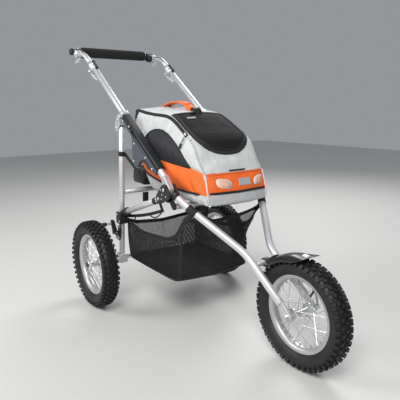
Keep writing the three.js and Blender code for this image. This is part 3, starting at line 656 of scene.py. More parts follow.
spoke_tip = around(lacing, spoke_turn, lacing_in["Rim Radius"], maths(lacing, "MULTIPLY", spoke_side,
    lacing_in["Rim Offset"]))
spoke_run = node(lacing, "ShaderNodeVectorMath", {0: spoke_tip.outputs[0], 1: spoke_foot.outputs[0]},
    operation="SUBTRACT")
spoke_long = node(lacing, "ShaderNodeVectorMath", {0: spoke_run.outputs[0]}, operation="LENGTH")
spoke_mid = node(lacing, "ShaderNodeMix", {"Factor": 0.5, 4: spoke_tip.outputs[0], 5: spoke_foot.outputs[0]},
    data_type="VECTOR")
spoke_points = node(lacing, "GeometryNodePoints", {"Count": lacing_in["Count"],
    "Position": spoke_mid.outputs[1]})
wire = node(lacing, "GeometryNodeMeshCylinder", {"Vertices": 8, "Radius": lacing_in["Wire Radius"],
    "Depth": 1.0})
wire_aim = node(lacing, "FunctionNodeAlignRotationToVector", {"Vector": spoke_run.outputs[0]}, axis="Z")
wire_size = node(lacing, "ShaderNodeCombineXYZ", {"X": 1.0, "Y": 1.0, "Z": spoke_long.outputs["Value"]})
wires = node(lacing, "GeometryNodeInstanceOnPoints", {"Points": spoke_points.outputs[0],
    "Instance": wire.outputs["Mesh"], "Rotation": wire_aim.outputs[0], "Scale": wire_size.outputs[0]})
end_tree(lacing, lacing_out, wires.outputs[0], lacing_in["Material"])

rim_alloy = surface("rim_alloy", (0.52, 0.525, 0.53), 0.38, 0.7, scuff=0.4, grain=0.5, dusty=0.25)
rim_profile = [(108.2, -15.2), (109.8, -14.6), (109.8, -13.4), (107.5, -12.2), (103.5, -11.6), (99, -9.5),
    (96.6, -6.5), (96, -3), (96, 3), (96.6, 6.5), (99, 9.5), (103.5, 11.6), (107.5, 12.2), (109.8, 13.4),
    (109.8, 14.6), (108.2, 15.2), (103, 14.2), (98, 12), (94.4, 7.5), (93.6, 3), (93.6, -3), (94.4, -7.5),
    (98, -12), (103, -14.2)]
nipple_ring = dict(Count=28, Radius=0.0905, Offset=0.0, Phase=0.0, Tilt=0.0, Along=0.0032, Across=0.0032,
    Tall=0.0075, Taper=-0.15)
valve_rubber = surface("valve_rubber", (0.02, 0.02, 0.02), 0.55, grain=1.0)
hub_shapes = {"front": (30.5, [(0, -43), (9, -43), (10.6, -42), (11, -40), (12, -35), (19, -33.4),
    (21, -32.6), (21, -29.4), (19, -28.6), (11.5, -26.5), (10, -22), (9.4, 0)]),
    "rear": (21, [(0, -27), (9, -27), (10.6, -26.4), (11.6, -25), (19, -23.4), (21, -22.6), (21, -19.4),
    (19, -18.6), (11.5, -16.5), (10, -13), (9.4, 0)])}
for wheel, wheel_x, wheel_y, wheel_body, tyre_node, rim_node in wheels:
    flange, half_hub = hub_shapes["front" if wheel == "front" else "rear"]
    rim = ring_about_origin("rim", rim_profile, 128)
    fit(wheel_copy(rim, f"{wheel}_rim", wheel_x, wheel_y), rim_alloy, wheel_body, rim_node, slot="chrome")
    bpy.data.objects.remove(rim)
    laced = grow(lacing, "laced", polished_steel, **{"Count": 28, "Hub Radius": 0.0185, "Rim Radius": 0.0945,
        "Flange Offset": flange / 1000, "Rim Offset": 0.0015, "Lean": 0.95, "Wire Radius": 0.00095})
    nipples = grow(tread, "nipples", polished_steel, **nipple_ring)
    hub_profile = half_hub + [(r, -y) for r, y in half_hub[::-1][1:]]
    hub = ring_about_origin("hub", hub_profile, 48, closed=False)
    turning = joined("turning", laced, nipples, hub)
    fit(wheel_copy(turning, f"{wheel}_spokes_and_hub", wheel_x, wheel_y), polished_steel, wheel_body)
    bpy.data.objects.remove(turning)
    valve_turn = math.radians(62)
    valve_root, valve_tip = ([place(wheel_x + r * math.cos(valve_turn), wheel_y,
        hub_height + r * math.sin(valve_turn)) for r in (94.5, 66)])
    fit(drawn_tube(f"{wheel}_valve", [valve_root, (valve_root + valve_tip) / 2, valve_tip], 0.003, 16),
        valve_rubber, wheel_body, slot="black_plastic")
    if wheel != "front":
        outward = 1 if wheel_y > 0 else -1
        cap = turned(f"{wheel}_dust_cap", [(0, wheel_y + outward * 31), (7, wheel_y + outward * 30.6),
            (9.6, wheel_y + outward * 29), (10, wheel_y + outward * 26.5)], 0, hub_height, 32)
        fit(cap, moulded_black, wheel_body)

# ---------------------------------------------------------------- fork
# Two bright lower tubes, 22 mm across, run forward from the hub connectors, bend in towards the front wheel,
# and end in flat dropouts. A cross bar ties them just behind the mudguard.


def bent_path(corners, bend, steps=7):
    """Points along straight runs with smooth bends at the inner corners."""
    path = [corners[0]]
    for before, corner, after in zip(corners, corners[1:], corners[2:]):
        start = corner + (before - corner).normalized() * bend
        end = corner + (after - corner).normalized() * bend
        for k in range(steps + 1):
            t = k / steps
            path.append(start * (1 - t) ** 2 + corner * (2 * t * (1 - t)) + end * t ** 2)
    return path + [corners[-1]]


fork_corners = [place(361, -168, 448), place(396, -150, 415), place(550, -49, 288), place(694, -50, 186)]
fit_pair(drawn_tube("fork_tube_right", bent_path(fork_corners, 0.034), 0.011, 40), bright_alloy,
    "front_frame", "lower_tube_{side}")
fit_pair(pressed_plate("dropout_right", hull_of([(*front_hub, 13), (690, 189, 10.4), (680, 198, 10)]), 47, 53,
    1.2), cast_alloy, "front_frame")
fit(drawn_tube("fork_bar", [place(584, -37.8, 264), place(584, 37.8, 264)], 0.008, 32), bright_alloy,
    "front_frame", "fork_cross_bar")

# ---------------------------------------------------------------- front axle and quick release
# A plated skewer with a hex nut on the right and a cam on the left. The cam's curved lever folds up against
# the fork and turns outwards to free the wheel.
fit(turned("front_skewer", [(0, -66), (4.2, -65.6), (4.8, -64), (4.8, 54), (7.2, 54), (8, 54.8), (8, 62.2),
    (7.2, 63), (0, 63)], *front_hub, 32), polished_steel, "front_frame", "front_axle")
fit(fasteners("skewer_nut", [(front_hub[0], -57.5, hub_height)], 9, 6.4), polished_steel, "front_frame")
fit(turned("skewer_washer", [(5, -53.3), (10.5, -53.3), (10.5, -54.8), (5, -54.8), (5, -53.3)], *front_hub,
    32), polished_steel, "front_frame")
fit(drawn_tube("release_lever", bent_path([place(721, 68.2, 157), place(717, 68, 182), place(707, 63.5, 207)],
    0.009), 0.0044, 20, up=Vector((1, 0, 0)), flat=0.5), polished_steel, "front_lever", "front_quick_release")
fit(drawn_tube("release_cam", [place(714.6, 69.2, 157), place(727.4, 69.2, 157)], 0.0054, 28), polished_steel,
    "front_lever")

# ---------------------------------------------------------------- front mudguard
# A glossy black moulded shell, 2.5 mm thick, arched over the tyre and held by a clamp on the cross bar. Its
# front end flattens into a lip with a small white reflector on top.
gloss_black = surface("gloss_black", (0.005, 0.005, 0.006), 0.17, scuff=0.15, worn=(0.03, 0.03, 0.03),
    dusty=0.05, Coat_Weight=0.15, Coat_Roughness=0.08)
guard_back, guard_front = 136, 79.5  # in degrees round the wheel
guard_rows, guard_points, guard_faces = 34, [], []
guard_section = [(-35, -20), (-34.6, -13), (-33, -8), (-28, -4.6), (-18, -1.6), (-9, -0.4), (0, 0), (9, -0.4),
    (18, -1.6), (28, -4.6), (33, -8), (34.6, -13), (35, -20)]
for i in range(guard_rows + 1):
    share = i / guard_rows
    turn = math.radians(guard_back + (guard_front - guard_back) * share)
    flare = max(0.0, (share - 0.72) / 0.28)
    pinch = 1 - 0.1 * max(0.0, (0.12 - share) / 0.12) - 0.12 * max(0.0, (share - 0.93) / 0.07) ** 2
    for across, drop in guard_section:
        radius = 165 + drop * (1 - 0.82 * flare ** 1.3) + 5.5 * flare ** 2
        guard_points.append(place(front_hub[0] + radius * math.cos(turn), across * pinch,
            hub_height + radius * math.sin(turn)))
guard_wide = len(guard_section)
for i in range(guard_rows):
    for k in range(guard_wide - 1):
        a = i * guard_wide + k
        guard_faces.append((a, a + 1, a + guard_wide + 1, a + guard_wide))
guard = mesh_piece("mudguard_shell", guard_points, guard_faces)
if guard.data.polygons[guard_wide // 2].normal.z < 0:
    guard.data.flip_normals()
modify(guard, "SOLIDIFY", thickness=0.0025, offset=-1)
modify(guard, "SUBSURF", levels=1, render_levels=1)
fit(settle(guard), gloss_black, "front_frame", "front_fender", slot="gloss_black")
reflector_white = surface("reflector_white", (0.82, 0.83, 0.82), 0.16, scuff=0.1, dusty=0.05, grain=1.6,
    grain_scale=300.0)
reflector = mesh_piece("reflector", [place(x, y, z) for y in (-26, -13) for x,
    z in ((741, 328.2), (755, 327.4), (755, 330.2), (741, 331.4))], capped(2, 4), False)
modify(reflector, "BEVEL", width=0.0008, segments=2)
fit(settle(reflector), reflector_white, "front_frame", slot="gloss_black")
fit(turned("mudguard_clamp_ring", [(8.3, -9), (12.2, -9), (13, -8), (13, 8), (12.2, 9), (8.3, 9), (8.3, -9)],
    *cross_bar, 40), moulded_black, "front_frame", "fender_clamp")
fit(pressed_plate("mudguard_tab", [(front_hub[0] + r * math.cos(math.radians(d)),
    hub_height + r * math.sin(math.radians(d))) for d, r in ((140, 168), (125, 167), (125, 171), (140, 177))],
    -9, 9, 0.8), moulded_black, "front_frame")
fit(fasteners("mudguard_bolts", [(614, 0, 290.6)], 4, 2.2, facing=(-0.66, 0, 0.75)), polished_steel,
    "front_frame")

# ---------------------------------------------------------------- hub connectors and cradle bar
# Black moulded cheeks, two a side, that carry the upper pivot of the handle tube and the lower pivot of the
# side tube, and hold the fork tube in a socket. Domed bolt heads show on the outside.
cheek_outline = hull_of([(*upper_pivot, 18), (*lower_pivot, 17), (352, 444, 11)])
for cheek_name, cheek_y in (("inner", (150.5, 156)), ("outer", (182, 188))):
    cheek = pressed_plate(f"{cheek_name}_cheek_right", cheek_outline, *cheek_y, 1.6, 3)
    nodes_for = ("hub_connector_{side}",) if cheek_name == "outer" else ()
    fit_pair(cheek, moulded_black, "front_frame", *nodes_for)
fit_pair(pressed_plate("cradle_lug_right", hull_of([(333, 404, 11), (311, 428, 10)]), 150.5, 156, 1.4),
    moulded_black, "front_frame")
for boss_x, boss_z, boss_name in ((*upper_pivot, "upper"), (*lower_pivot, "lower")):
    fit_pair(turned(f"{boss_name}_boss_right", [(0, -190.2), (8.6, -190), (10.4, -189), (11, -187.6),
        (11, -181), (0, -181)], boss_x, boss_z, 36), moulded_black, "front_frame")
    fit_pair(turned(f"{boss_name}_pivot_right", [(0, -191.8), (3.6, -191.4), (5.4, -190.4), (5.4, -155),
        (0, -155)], boss_x, boss_z, 28), polished_steel, "front_frame")
fit_pair(fasteners("cheek_bolts_right", [(317, -188.8, 430), (314, -188.8, 457), (344, -188.8, 441),
    (322, -188.8, 444)], 2.6, 1.4, 12), polished_steel, "front_frame")
socket = drawn_tube("fork_socket_right", [fork_corners[0] + (fork_corners[0] - fork_corners[1]).normalized()
    * 0.004, fork_corners[0], fork_corners[0] + (fork_corners[1] - fork_corners[0]).normalized() * 0.014],
    0.0128, 32)
fit_pair(socket, moulded_black, "front_frame")
fit(drawn_tube("cradle_tube", [place(333, -150, 404), place(333, 150, 404)], 0.009, 32), bright_alloy,
    "front_frame", "cradle_bar")

# ---------------------------------------------------------------- handle tubes
# Bright tubes, 22 mm across, that slope from the upper pivots up and back past the carrier. Each lower end
# is flattened round its pivot bolt.
handle_fall = 0.73  # for each millimetre forwards
slope = Vector((1, 0, -handle_fall)).normalized()
slope_up = Vector((handle_fall, 0, 1)).normalized()


def handle_z(x):
    """The height of the handle tube's middle line at x, in millimetres."""
    return 477 - handle_fall * (x - 328)


def handle_at(x, up=0.0, y=-168.0):
    """A point on the right-hand handle tube's line at x, raised square to the tube, in millimetres."""
    return place(x + up * slope_up.x, y, handle_z(x) + up * slope_up.z)


fit_pair(drawn_tube("handle_tube_bar_right", [handle_at(-205), handle_at(50), handle_at(309)], 0.011, 40),
    bright_alloy, "handle_frame", "handle_tube_{side}")
fit_pair(pressed_plate("handle_eye_right", hull_of([(*upper_pivot, 14.4), (309, 490.6, 10.6)]), 158.4, 177.6,
    2.6, 3), cast_alloy, "handle_frame")

# ---------------------------------------------------------------- carrier rails
# A deep black moulded channel slid over each handle tube beside the carrier. A flat grey alloy strip is
# riveted along the lower edge of its outer face.
rail_path = [handle_at(60), handle_at(170), handle_at(283)]


def boxed_bar(name, start, end, wide, tall, corner, edge=1.0):
    """A straight bar with a rounded square section along the handle's slope, in millimetres."""
    points = []
    for middle, shrink in ((start, edge), (start + slope * edge / 1000, 0), (end - slope * edge / 1000, 0),
            (end, edge)):
        ring = rounded(wide - 2 * shrink, tall - 2 * shrink, max(corner - shrink, 0.5))
        points += [middle + Vector((0, a / 1000, 0)) + slope_up * (b / 1000) for a, b in ring]
    made = mesh_piece(name, points, capped(4, len(ring)))
    for polygon in made.data.polygons:
        polygon.use_smooth = len(polygon.vertices) == 4
    return made


fit_pair(boxed_bar("rail_channel_right", rail_path[0], rail_path[-1], 29, 28, 5, 1.2), moulded_black,
    "handle_frame", "carrier_rail_{side}")
strip_points = [handle_at(x, up, y) for y in (-182.2, -183.4) for x, up in ((62, -13), (62, -3.5), (66, -2),
    (277, -2), (281, -3.5), (281, -13))]
strip = mesh_piece("rail_strip_right", strip_points, capped(2, 6), False)
strip_grey = surface("strip_grey", (0.15, 0.155, 0.17), 0.36, 0.25, scuff=0.5, grain=0.8, grain_scale=300.0)
fit_pair(strip, strip_grey, "handle_frame", slot="alloy")
rivet_spots = []
for rivet_x in (70, 100, 131, 162, 193, 224, 252, 274):
    spot = handle_at(rivet_x, -7.5, -183.9) - place(0, 0, 0)
    rivet_spots.append(tuple(1000 * c for c in spot))
fit_pair(fasteners("rail_rivets_right", rivet_spots, 2.6, 1.2, 14), polished_steel, "handle_frame")

# ---------------------------------------------------------------- side plates
# Smooth mid-grey moulded plates that hang from the rails and carry the sides of the cradle, each bolted
# through and trimmed along its scooped lower edge with a black lip.
grey_panel = surface("grey_panel", (0.075, 0.083, 0.098), 0.36, scuff=0.25, worn=(0.16, 0.165, 0.17),
    grain=0.4)


def under_handle(x, drop):
    """A point of a side plate's outline, below the handle tube's middle line, in millimetres."""
    return (x, handle_z(x) - drop)


side_outline = [under_handle(98, -3), under_handle(98, 10), (118, 634), (124, 628), (129, 616), (133, 600),
    (133.6, 578), (133, 556), (135.5, 536), (141, 521), (147.5, 514), (155, 511), (166, 512.5), (176, 517),
    (184, 525), (190, 531), (199, 535.6), (208, 537), (218, 535.4), (228, 531), (237, 524), (244, 517),
    under_handle(284, 10), under_handle(284, -3)]
fit_pair(pressed_plate("side_panel_right", side_outline, 182.8, 186.8, 1.2, 2), grey_panel, "handle_frame",
    "side_plate_{side}", slot="grey_plastic")
lip_path = [place(x, -186.4, z) for x, z in ((176, 516.4), (184, 524.6), (190, 530.6), (199, 535.2),
    (208, 536.6), (218, 535), (228, 530.6), (237, 523.6), (245, 516))]
fit_pair(drawn_tube("side_panel_lip_right", lip_path, 0.0046, 12, up=Vector((0, 0, 1))), moulded_black,
    "handle_frame")
fit_pair(fasteners("panel_bolts_right", [(150, -187.6, 588), (143, -187.6, 530), (222, -187.6, 548),
    (262, -187.6, 516), (118, -187.6, 642)], 3.6, 1.9, 18), polished_steel, "handle_frame")

# ---------------------------------------------------------------- hook brackets
# Silver cast brackets round the handle tubes. Their two cheeks straddle the tops of the rear posts and are
# bolted through, and a black wedge closes the gap above the post.
hook_outline = [(38, 684), (30, 675), (22, 664), (16, 652), (12, 640), (12.6, 631), (16, 625), (24, 621),
    (36, 631), (50, 646), (50, 655), (47, 664), (51, 669), (56, 674)]
for hook_name, hook_y in (("outer", (185.6, 188.8)), ("inner", (160.8, 164.4))):
    hook = pressed_plate(f"{hook_name}_hook_right", hook_outline, *hook_y, 0.9, 2)
    nodes_for = ("hook_bracket_{side}",) if hook_name == "outer" else ()
    fit_pair(hook, cast_alloy, "handle_frame", *nodes_for)
fit_pair(boxed_bar("hook_collar_right", handle_at(40), handle_at(56), 29, 25, 6), cast_alloy, "handle_frame")
fit_pair(pressed_plate("hook_bridge_right", [(38, 684), (32, 676), (46, 668), (53, 675)], 164, 186.4, 0.9),
    cast_alloy, "handle_frame")
fit_pair(fasteners("hook_bolts_right", [(24, -189.6, 636), (35, -189.6, 664)], 4, 2.2), polished_steel,
    "handle_frame")

# ---------------------------------------------------------------- height clamps
# A cast split collar, with a black strip along it, on the top of each handle tube, pinched by a silver
# wedge-shaped cam lever under the tube. Flipping the lever down frees the inner tube, so that the handle can
# be drawn out.
fit_pair(drawn_tube("height_collar_right", [handle_at(-207.4), handle_at(-190), handle_at(-175)], 0.0155, 36),
    cast_alloy, "handle_frame", "height_clamp_{side}")
fit_pair(drawn_tube("collar_band_right", [handle_at(-202), handle_at(-197), handle_at(-192)], 0.0161, 36),
    bright_alloy, "handle_frame")
cam_at = handle_at(-196, -23) - place(0, 0, 0)
cam_x, cam_z = cam_at.x * 1000, cam_at.z * 1000
neck_at = handle_at(-192) - place(0, 0, 0)
for ear_name, ear_y in (("outer", (175.4, 180)), ("inner", (156, 160.6))):
    fit_pair(pressed_plate(f"{ear_name}_ear_right", hull_of([(cam_x, cam_z, 7),
        (neck_at.x * 1000, neck_at.z * 1000, 8)]), *ear_y, 0.9), cast_alloy, "handle_frame")
fit_pair(drawn_tube("collar_strip_right", [handle_at(-203, 15), handle_at(-190, 15.5), handle_at(-168, 13.5)],
    0.0052, 20, flat=1.5), moulded_black, "handle_frame")


def from_cam(along, down):
    """A point of the lever's outline, measured along the handle and below its pivot, in millimetres."""
    return (cam_x + along * slope.x - down * slope_up.x, cam_z + along * slope.z - down * slope_up.z)


fit_pair(pressed_plate("height_wedge_right", [from_cam(-7, 3), from_cam(-6, -2), from_cam(-3, -5),
    from_cam(10, -5), from_cam(14, -3), from_cam(60, -5), from_cam(62.4, -3), from_cam(62, -1),
    from_cam(26, 10), from_cam(12, 10.4), from_cam(0, 8)], 161, 175, 1.6, 3), cast_alloy,
    "{side}_clamp_lever", "height_lever_{side}")
fit_pair(fasteners("cam_bolt_right", [(cam_x, -180.8, cam_z)], 4.4, 2.2, 18), polished_steel, "handle_frame")
bolt_x, bolt_z = from_cam(22, 2.4)
fit_pair(fasteners("wedge_bolts_right", [(bolt_x, -175.6, bolt_z)], 3.2, 1.6, 18), polished_steel,
    "{side}_clamp_lever")

# ---------------------------------------------------------------- inner tubes and elbows
# Inner tubes slide in the handle tubes and end in cast elbows, bright outside and black inside, that sweep
# level to the handlebar's pivot. A plated bolt shows in each round housing.
inner = drawn_tube("inner_tube_bar_right", [handle_at(-215), handle_at(-140), handle_at(-62)], 0.0087, 32)
fit_pair(inner, bright_alloy, "handle_extension", "inner_tube_{side}")
elbow_start = handle_at(-215) - slope * 0.0016
elbow_start.y = -0.172
elbow_path = bent_path([elbow_start, place(-262, -172, 909), place(-336, -172, 916)], 0.032, 10)
fit_pair(drawn_tube("elbow_arm_right", elbow_path, 0.0098, 32, flat=0.92), bright_alloy, "handle_extension",
    "elbow_{side}")
elbow_plate_path = [(p - place(0, 0, 0)) * 1000 for p in elbow_path]
plate_over = [(p.x + 2.5, p.z + 7.5) for p in elbow_plate_path[1:]] + [(p.x, p.z - 1.5)
    for p in elbow_plate_path[:1:-1]]
fit_pair(pressed_plate("elbow_cover_right", plate_over, 164, 171.4, 1.0), moulded_black, "handle_extension")
fit_pair(turned("elbow_housing_right", [(0, -183.6), (9.4, -183.4), (12, -182.8), (15.4, -181), (16.2, -178),
    (16.2, -164), (15, -162.2), (0, -162.2)], *tilt_pivot, 44), cast_alloy, "handle_extension")
fit_pair(turned("elbow_bolt_right", [(0, -187.4), (3.4, -187.2), (5.6, -186.2), (6.4, -184.6), (6.4, -182.4),
    (0, -182.4)], *tilt_pivot, 32), polished_steel, "handle_extension")

# ---------------------------------------------------------------- tilt triggers
# Cast pointed triggers under the elbows. Squeezing one frees the handlebar, which then tilts.
trigger_outline = [(-306, 898), (-306, 893), (-309, 888), (-316, 884), (-326, 881.4), (-340, 880.6),
    (-350, 881), (-354, 884), (-351, 888), (-346, 891.4), (-340, 893.6), (-331, 895.6), (-318, 898)]
fit_pair(pressed_plate("trigger_blade_right", trigger_outline, 165, 179, 2.2, 3), cast_alloy,
    "{side}_trigger", "tilt_trigger_{side}")

# ---------------------------------------------------------------- handlebar
# A steel bar in a thick sleeve of black closed-cell foam, 40 mm across, between two black moulded heads with
# plated studs. A round black grip end stands out past each elbow.
fit_pair(pressed_plate("bar_head_right", hull_of([(*tilt_pivot, 15.8), (*bar_axis, 14.3)]), 147.2, 161.6, 2.4,
    3), moulded_black, "handlebar", "handlebar_head_{side}")
fit_pair(fasteners("head_studs_right", [(-352, -162.2, 940)], 2.8, 1.4, 14), polished_steel, "handlebar")
fit(turned("bar_core", [(0, -178), (10, -178), (10, 178), (0, 178)], *bar_axis, 32), moulded_black,
    "handlebar", "handlebar_core")
fit_pair(turned("bar_end_right", [(0, -192), (8, -191.8), (11.6, -190.4), (13, -187.6), (13, -179),
    (12, -176.6), (0, -176)], *bar_axis, 36), moulded_black, "handlebar")
fit_pair(turned("bar_stud_right", [(0, -150.5), (14.6, -150.5), (15.2, -149.6), (15.2, -147.4),
    (14.6, -146.6), (0, -146.6)], *bar_axis, 36), polished_steel, "handlebar")
grip_foam = surface("grip_foam", (0.009, 0.009, 0.0095), 0.85, scuff=0.2, worn=(0.03, 0.03, 0.03), grain=3.0,
    grain_scale=650.0, dusty=0.0)
foam_profile = []
for k in range(61):
    foam_y = -146 + 292 * k / 60
    foam_end = min(foam_y + 146, 146 - foam_y)
    foam_profile.append((19.7 + 0.25 * math.sin(foam_y * 0.21) * math.sin(foam_y * 0.057) - 3.6 * max(0.0,
        1 - foam_end / 4.0) ** 2, foam_y))
foam = turned("foam_sleeve", [(10.4, -146)] + foam_profile + [(10.4, 146), (10.4, -146)], *bar_axis, 56)
fit(foam, grip_foam, "handlebar", "foam_grip", slot="foam")

# ---------------------------------------------------------------- carrier shell
# A soft box of coated nylon, sewn from shaped panels over foam: light grey roof and upper sides, orange lower
# sides and front band, charcoal mesh side windows, and a silver-grey boot below a black piped seam.
# Each station: x, bottom, top, half width at the base, at the bulge and at the roof, in millimetres.
carrier_stations = np.array([(34, 655, 698, 108, 114, 111), (72, 520, 697, 110, 130, 111),
    (108, 446, 694, 112, 139, 110), (150, 417, 690, 114, 143, 107), (243, 417, 680, 116, 144, 104),
    (328, 417, 637, 117, 136, 109), (383, 417, 600, 117, 127, 113), (408, 417, 556, 117, 122, 113),
    (438, 418, 510, 116, 119, 112), (455, 420, 455, 115, 117, 114)], float)
station_run = np.concatenate([[0], np.cumsum(np.hypot(np.diff(carrier_stations[:, 0]),
    np.diff(carrier_stations[:, 2])))])


def smooth_between(run, rows, at):
    """Values along a row of stations, on a curve that passes through each without overshooting much."""
    i = int(np.clip(np.searchsorted(run, at) - 1, 0, len(run) - 2))
    span = run[i + 1] - run[i]
    t = (at - run[i]) / span
    def lean(k):
        if k == 0:
            return (rows[1] - rows[0]) / (run[1] - run[0])
        if k == len(run) - 1:
            return (rows[-1] - rows[-2]) / (run[-1] - run[-2])
        before = (rows[k] - rows[k - 1]) / (run[k] - run[k - 1])
        after = (rows[k + 1] - rows[k]) / (run[k + 1] - run[k])
        return np.where(before * after > 0, (before + after) / 2, 0.0)
    h00, h10 = 2 * t ** 3 - 3 * t ** 2 + 1, t ** 3 - 2 * t ** 2 + t
    h01, h11 = -2 * t ** 3 + 3 * t ** 2, t ** 3 - t ** 2
    return h00 * rows[i] + h10 * span * lean(i) + h01 * rows[i + 1] + h11 * span * lean(i + 1)


ring_steps = (5, 5, 4, 26, 24, 24, 4, 14, 14)
seam_low, seam_high = 12, sum(ring_steps[:6]) + 2
half_count = sum(ring_steps) + 1
row_count = 168


def carrier_ring(run_at):
    """One half section of the carrier, from the middle of its floor up its side to the middle of its roof."""
    x, bottom, top, base, bulge, roof = smooth_between(station_run, carrier_stations, run_at)
    tall = top - bottom
    crown = 7.0 * min(1.0, tall / 120)
    corners = np.array([(0, bottom), (base * 0.5, bottom), (base * 0.92, bottom),
        (base, bottom + 0.05 * tall), (bulge, bottom + 0.38 * tall), (bulge * 0.985, bottom + 0.66 * tall),
        (roof + 4, bottom + 0.94 * tall), (roof - 2, top), (roof * 0.55, top + crown * 0.75),
        (0, top + crown)])
    ring = [corners[0]]
    for (a, b), steps in zip(zip(corners, corners[1:]), ring_steps):
        ring += [a + (b - a) * (k + 1) / steps for k in range(steps)]
    ring = np.array(ring)
    for _ in range(7):
        ring[1:-1] = ring[1:-1] * 0.5 + (ring[:-2] + ring[2:]) * 0.25
        ring[0, 1], ring[-1, 1] = ring[1, 1], ring[-2, 1]
    return np.column_stack([np.full(len(ring), x), ring])


rows = np.array([carrier_ring(at) for at in np.linspace(0, station_run[-1], row_count)])
for _ in range(5):
    rows[1:-1] = rows[1:-1] * 0.5 + (rows[:-2] + rows[2:]) * 0.25
ends = []
for row, way in ((rows[0], -1), (rows[-1], 1)):
    middle_z = (row[0, 2] + row[-1, 2]) / 2
    ends.append(np.array([np.column_stack([row[:, 0] + way * bulging, row[:, 1] * share,
        middle_z + (row[:, 2] - middle_z) * share]) for share, bulging in ((0.97, 1.2), (0.9, 2.4),
        (0.6, 3.4), (0.0, 3.8))]))
rows = np.concatenate([ends[0][::-1], rows, ends[1]])
forward = np.clip((rows[:, :, 0] - 365) / 80, 0, 1)
rows[:, :, 0] += 10 * forward * forward * (3 - 2 * forward) * np.clip(1 - (rows[:, :, 1] / 117) ** 2, 0, 1)
row_count = len(rows)
cap_rings = 4  # that close the shell at each end
full_count = 2 * half_count - 2
shell = np.zeros((row_count, full_count, 3))
shell[:, :half_count] = rows * (1, -1, 1)
shell[:, half_count:] = rows[:, -2:0:-1]
half_of = np.array([h if h < half_count else full_count - h for h in range(full_count)])


def framed(points):
    """Millimetre rows of points as points of the frame."""
    return np.asarray(points) / 1000 + (axle_x, 0, 0)


carrier_skin = BVHTree.FromPolygons([tuple(p) for p in framed(shell.reshape(-1, 3))],
    bands(row_count, full_count))


def on_skin(x, y, z, way, lift=0.0):
    """The carrier's skin met from a point in millimetres, looking along way, and how it faces there."""
    start, way = place(x, y, z), Vector(way)
    spot, facing, _, _ = carrier_skin.ray_cast(start, way)
    if spot is None:
        spot, facing, _, _ = carrier_skin.find_nearest(start + way * 0.27)
    facing = facing if facing.dot(way) < 0 else -facing
    return spot + facing * lift / 1000, facing


def on_side(x, z, lift=0.0):
    return on_skin(x, -400, z, (0, 1, 0), lift)


def on_roof(x, y, lift=0.0):
    return on_skin(x, y, 900, (0, 0, -1), lift)


def on_front(y, z, lift=0.0):
    return on_skin(700, y, z, (-1, 0, 0), lift)


def along_line(corners, spacing=4.0):
    """Evenly spaced points along a line of corners, in two coordinates."""
    corners = np.array(corners, float)
    run = np.concatenate([[0], np.cumsum(np.hypot(*np.diff(corners, axis=0).T))])
    at = np.linspace(0, run[-1], max(3, int(run[-1] / spacing)))
    return np.column_stack([np.interp(at, run, corners[:, 0]), np.interp(at, run, corners[:, 1])])


def rounded_line(corners, rounds=2):
    """The same line with its corners cut smooth."""
    corners = np.array(corners, float)
    for _ in range(rounds):
        inner = np.empty((2 * (len(corners) - 1), 2))
        inner[0::2] = corners[:-1] * 0.75 + corners[1:] * 0.25
        inner[1::2] = corners[:-1] * 0.25 + corners[1:] * 0.75
        corners = np.vstack([corners[:1], inner[1:-1], corners[-1:]])
    return corners


boot_line = rounded_line([(62, 520), (90, 497), (160, 477), (224, 464), (315, 453), (410, 451), (454, 450)])
window_line = [(146, 566), (134, 600), (146, 622), (176, 634), (216, 635), (250, 627), (284, 611), (330, 580),
    (362, 549), (386, 527), (384, 526), (336, 531), (279, 538), (202, 549), (146, 566)]
window_line = rounded_line(window_line, 2)
orange_line = rounded_line([(70, 560), (110, 570), (146, 564), (202, 549), (279, 538), (336, 531), (386, 527),
    (410, 520), (448, 512)], 1)
flap_side = [(243, -98), (335, -104), (368, -103)]
flap_nose = [(368 + 46 * math.cos(a), 103 * math.sin(a)) for a in np.linspace(-math.pi / 2, math.pi / 2, 33)]
flap_line = np.array(flap_side + flap_nose[1:-1] + [(368, 103), (335, 104), (243, 98)])

seam_marks = [on_side(*p)[0] for line in (boot_line, window_line, orange_line) for p in along_line(line, 5)]
seam_marks += [on_roof(*p)[0] for p in along_line(np.vstack([flap_line, flap_line[:1]]), 6)]
seam_marks += [on_front(y, z)[0] for z in (511, 455) for y in range(-108, 109, 6)]
corner_rows = shell[:, [seam_high, seam_low], :].reshape(-1, 3)
seam_marks += [Vector(p) for p in framed(corner_rows)]
seam_marks += [Vector((p.x, -p.y, p.z)) for p in seam_marks]
seams = KDTree(len(seam_marks))
for k, mark in enumerate(seam_marks):
    seams.insert(mark, k)
seams.balance()


def inside(line, x, y):
    """Whether a point lies inside a closed outline."""
    crossings = False
    for (x0, y0), (x1, y1) in zip(line, np.roll(line, -1, axis=0)):
        if (y0 > y) != (y1 > y) and x < (x1 - x0) * (y - y0) / (y1 - y0) + x0:
            crossings = not crossings
    return crossings


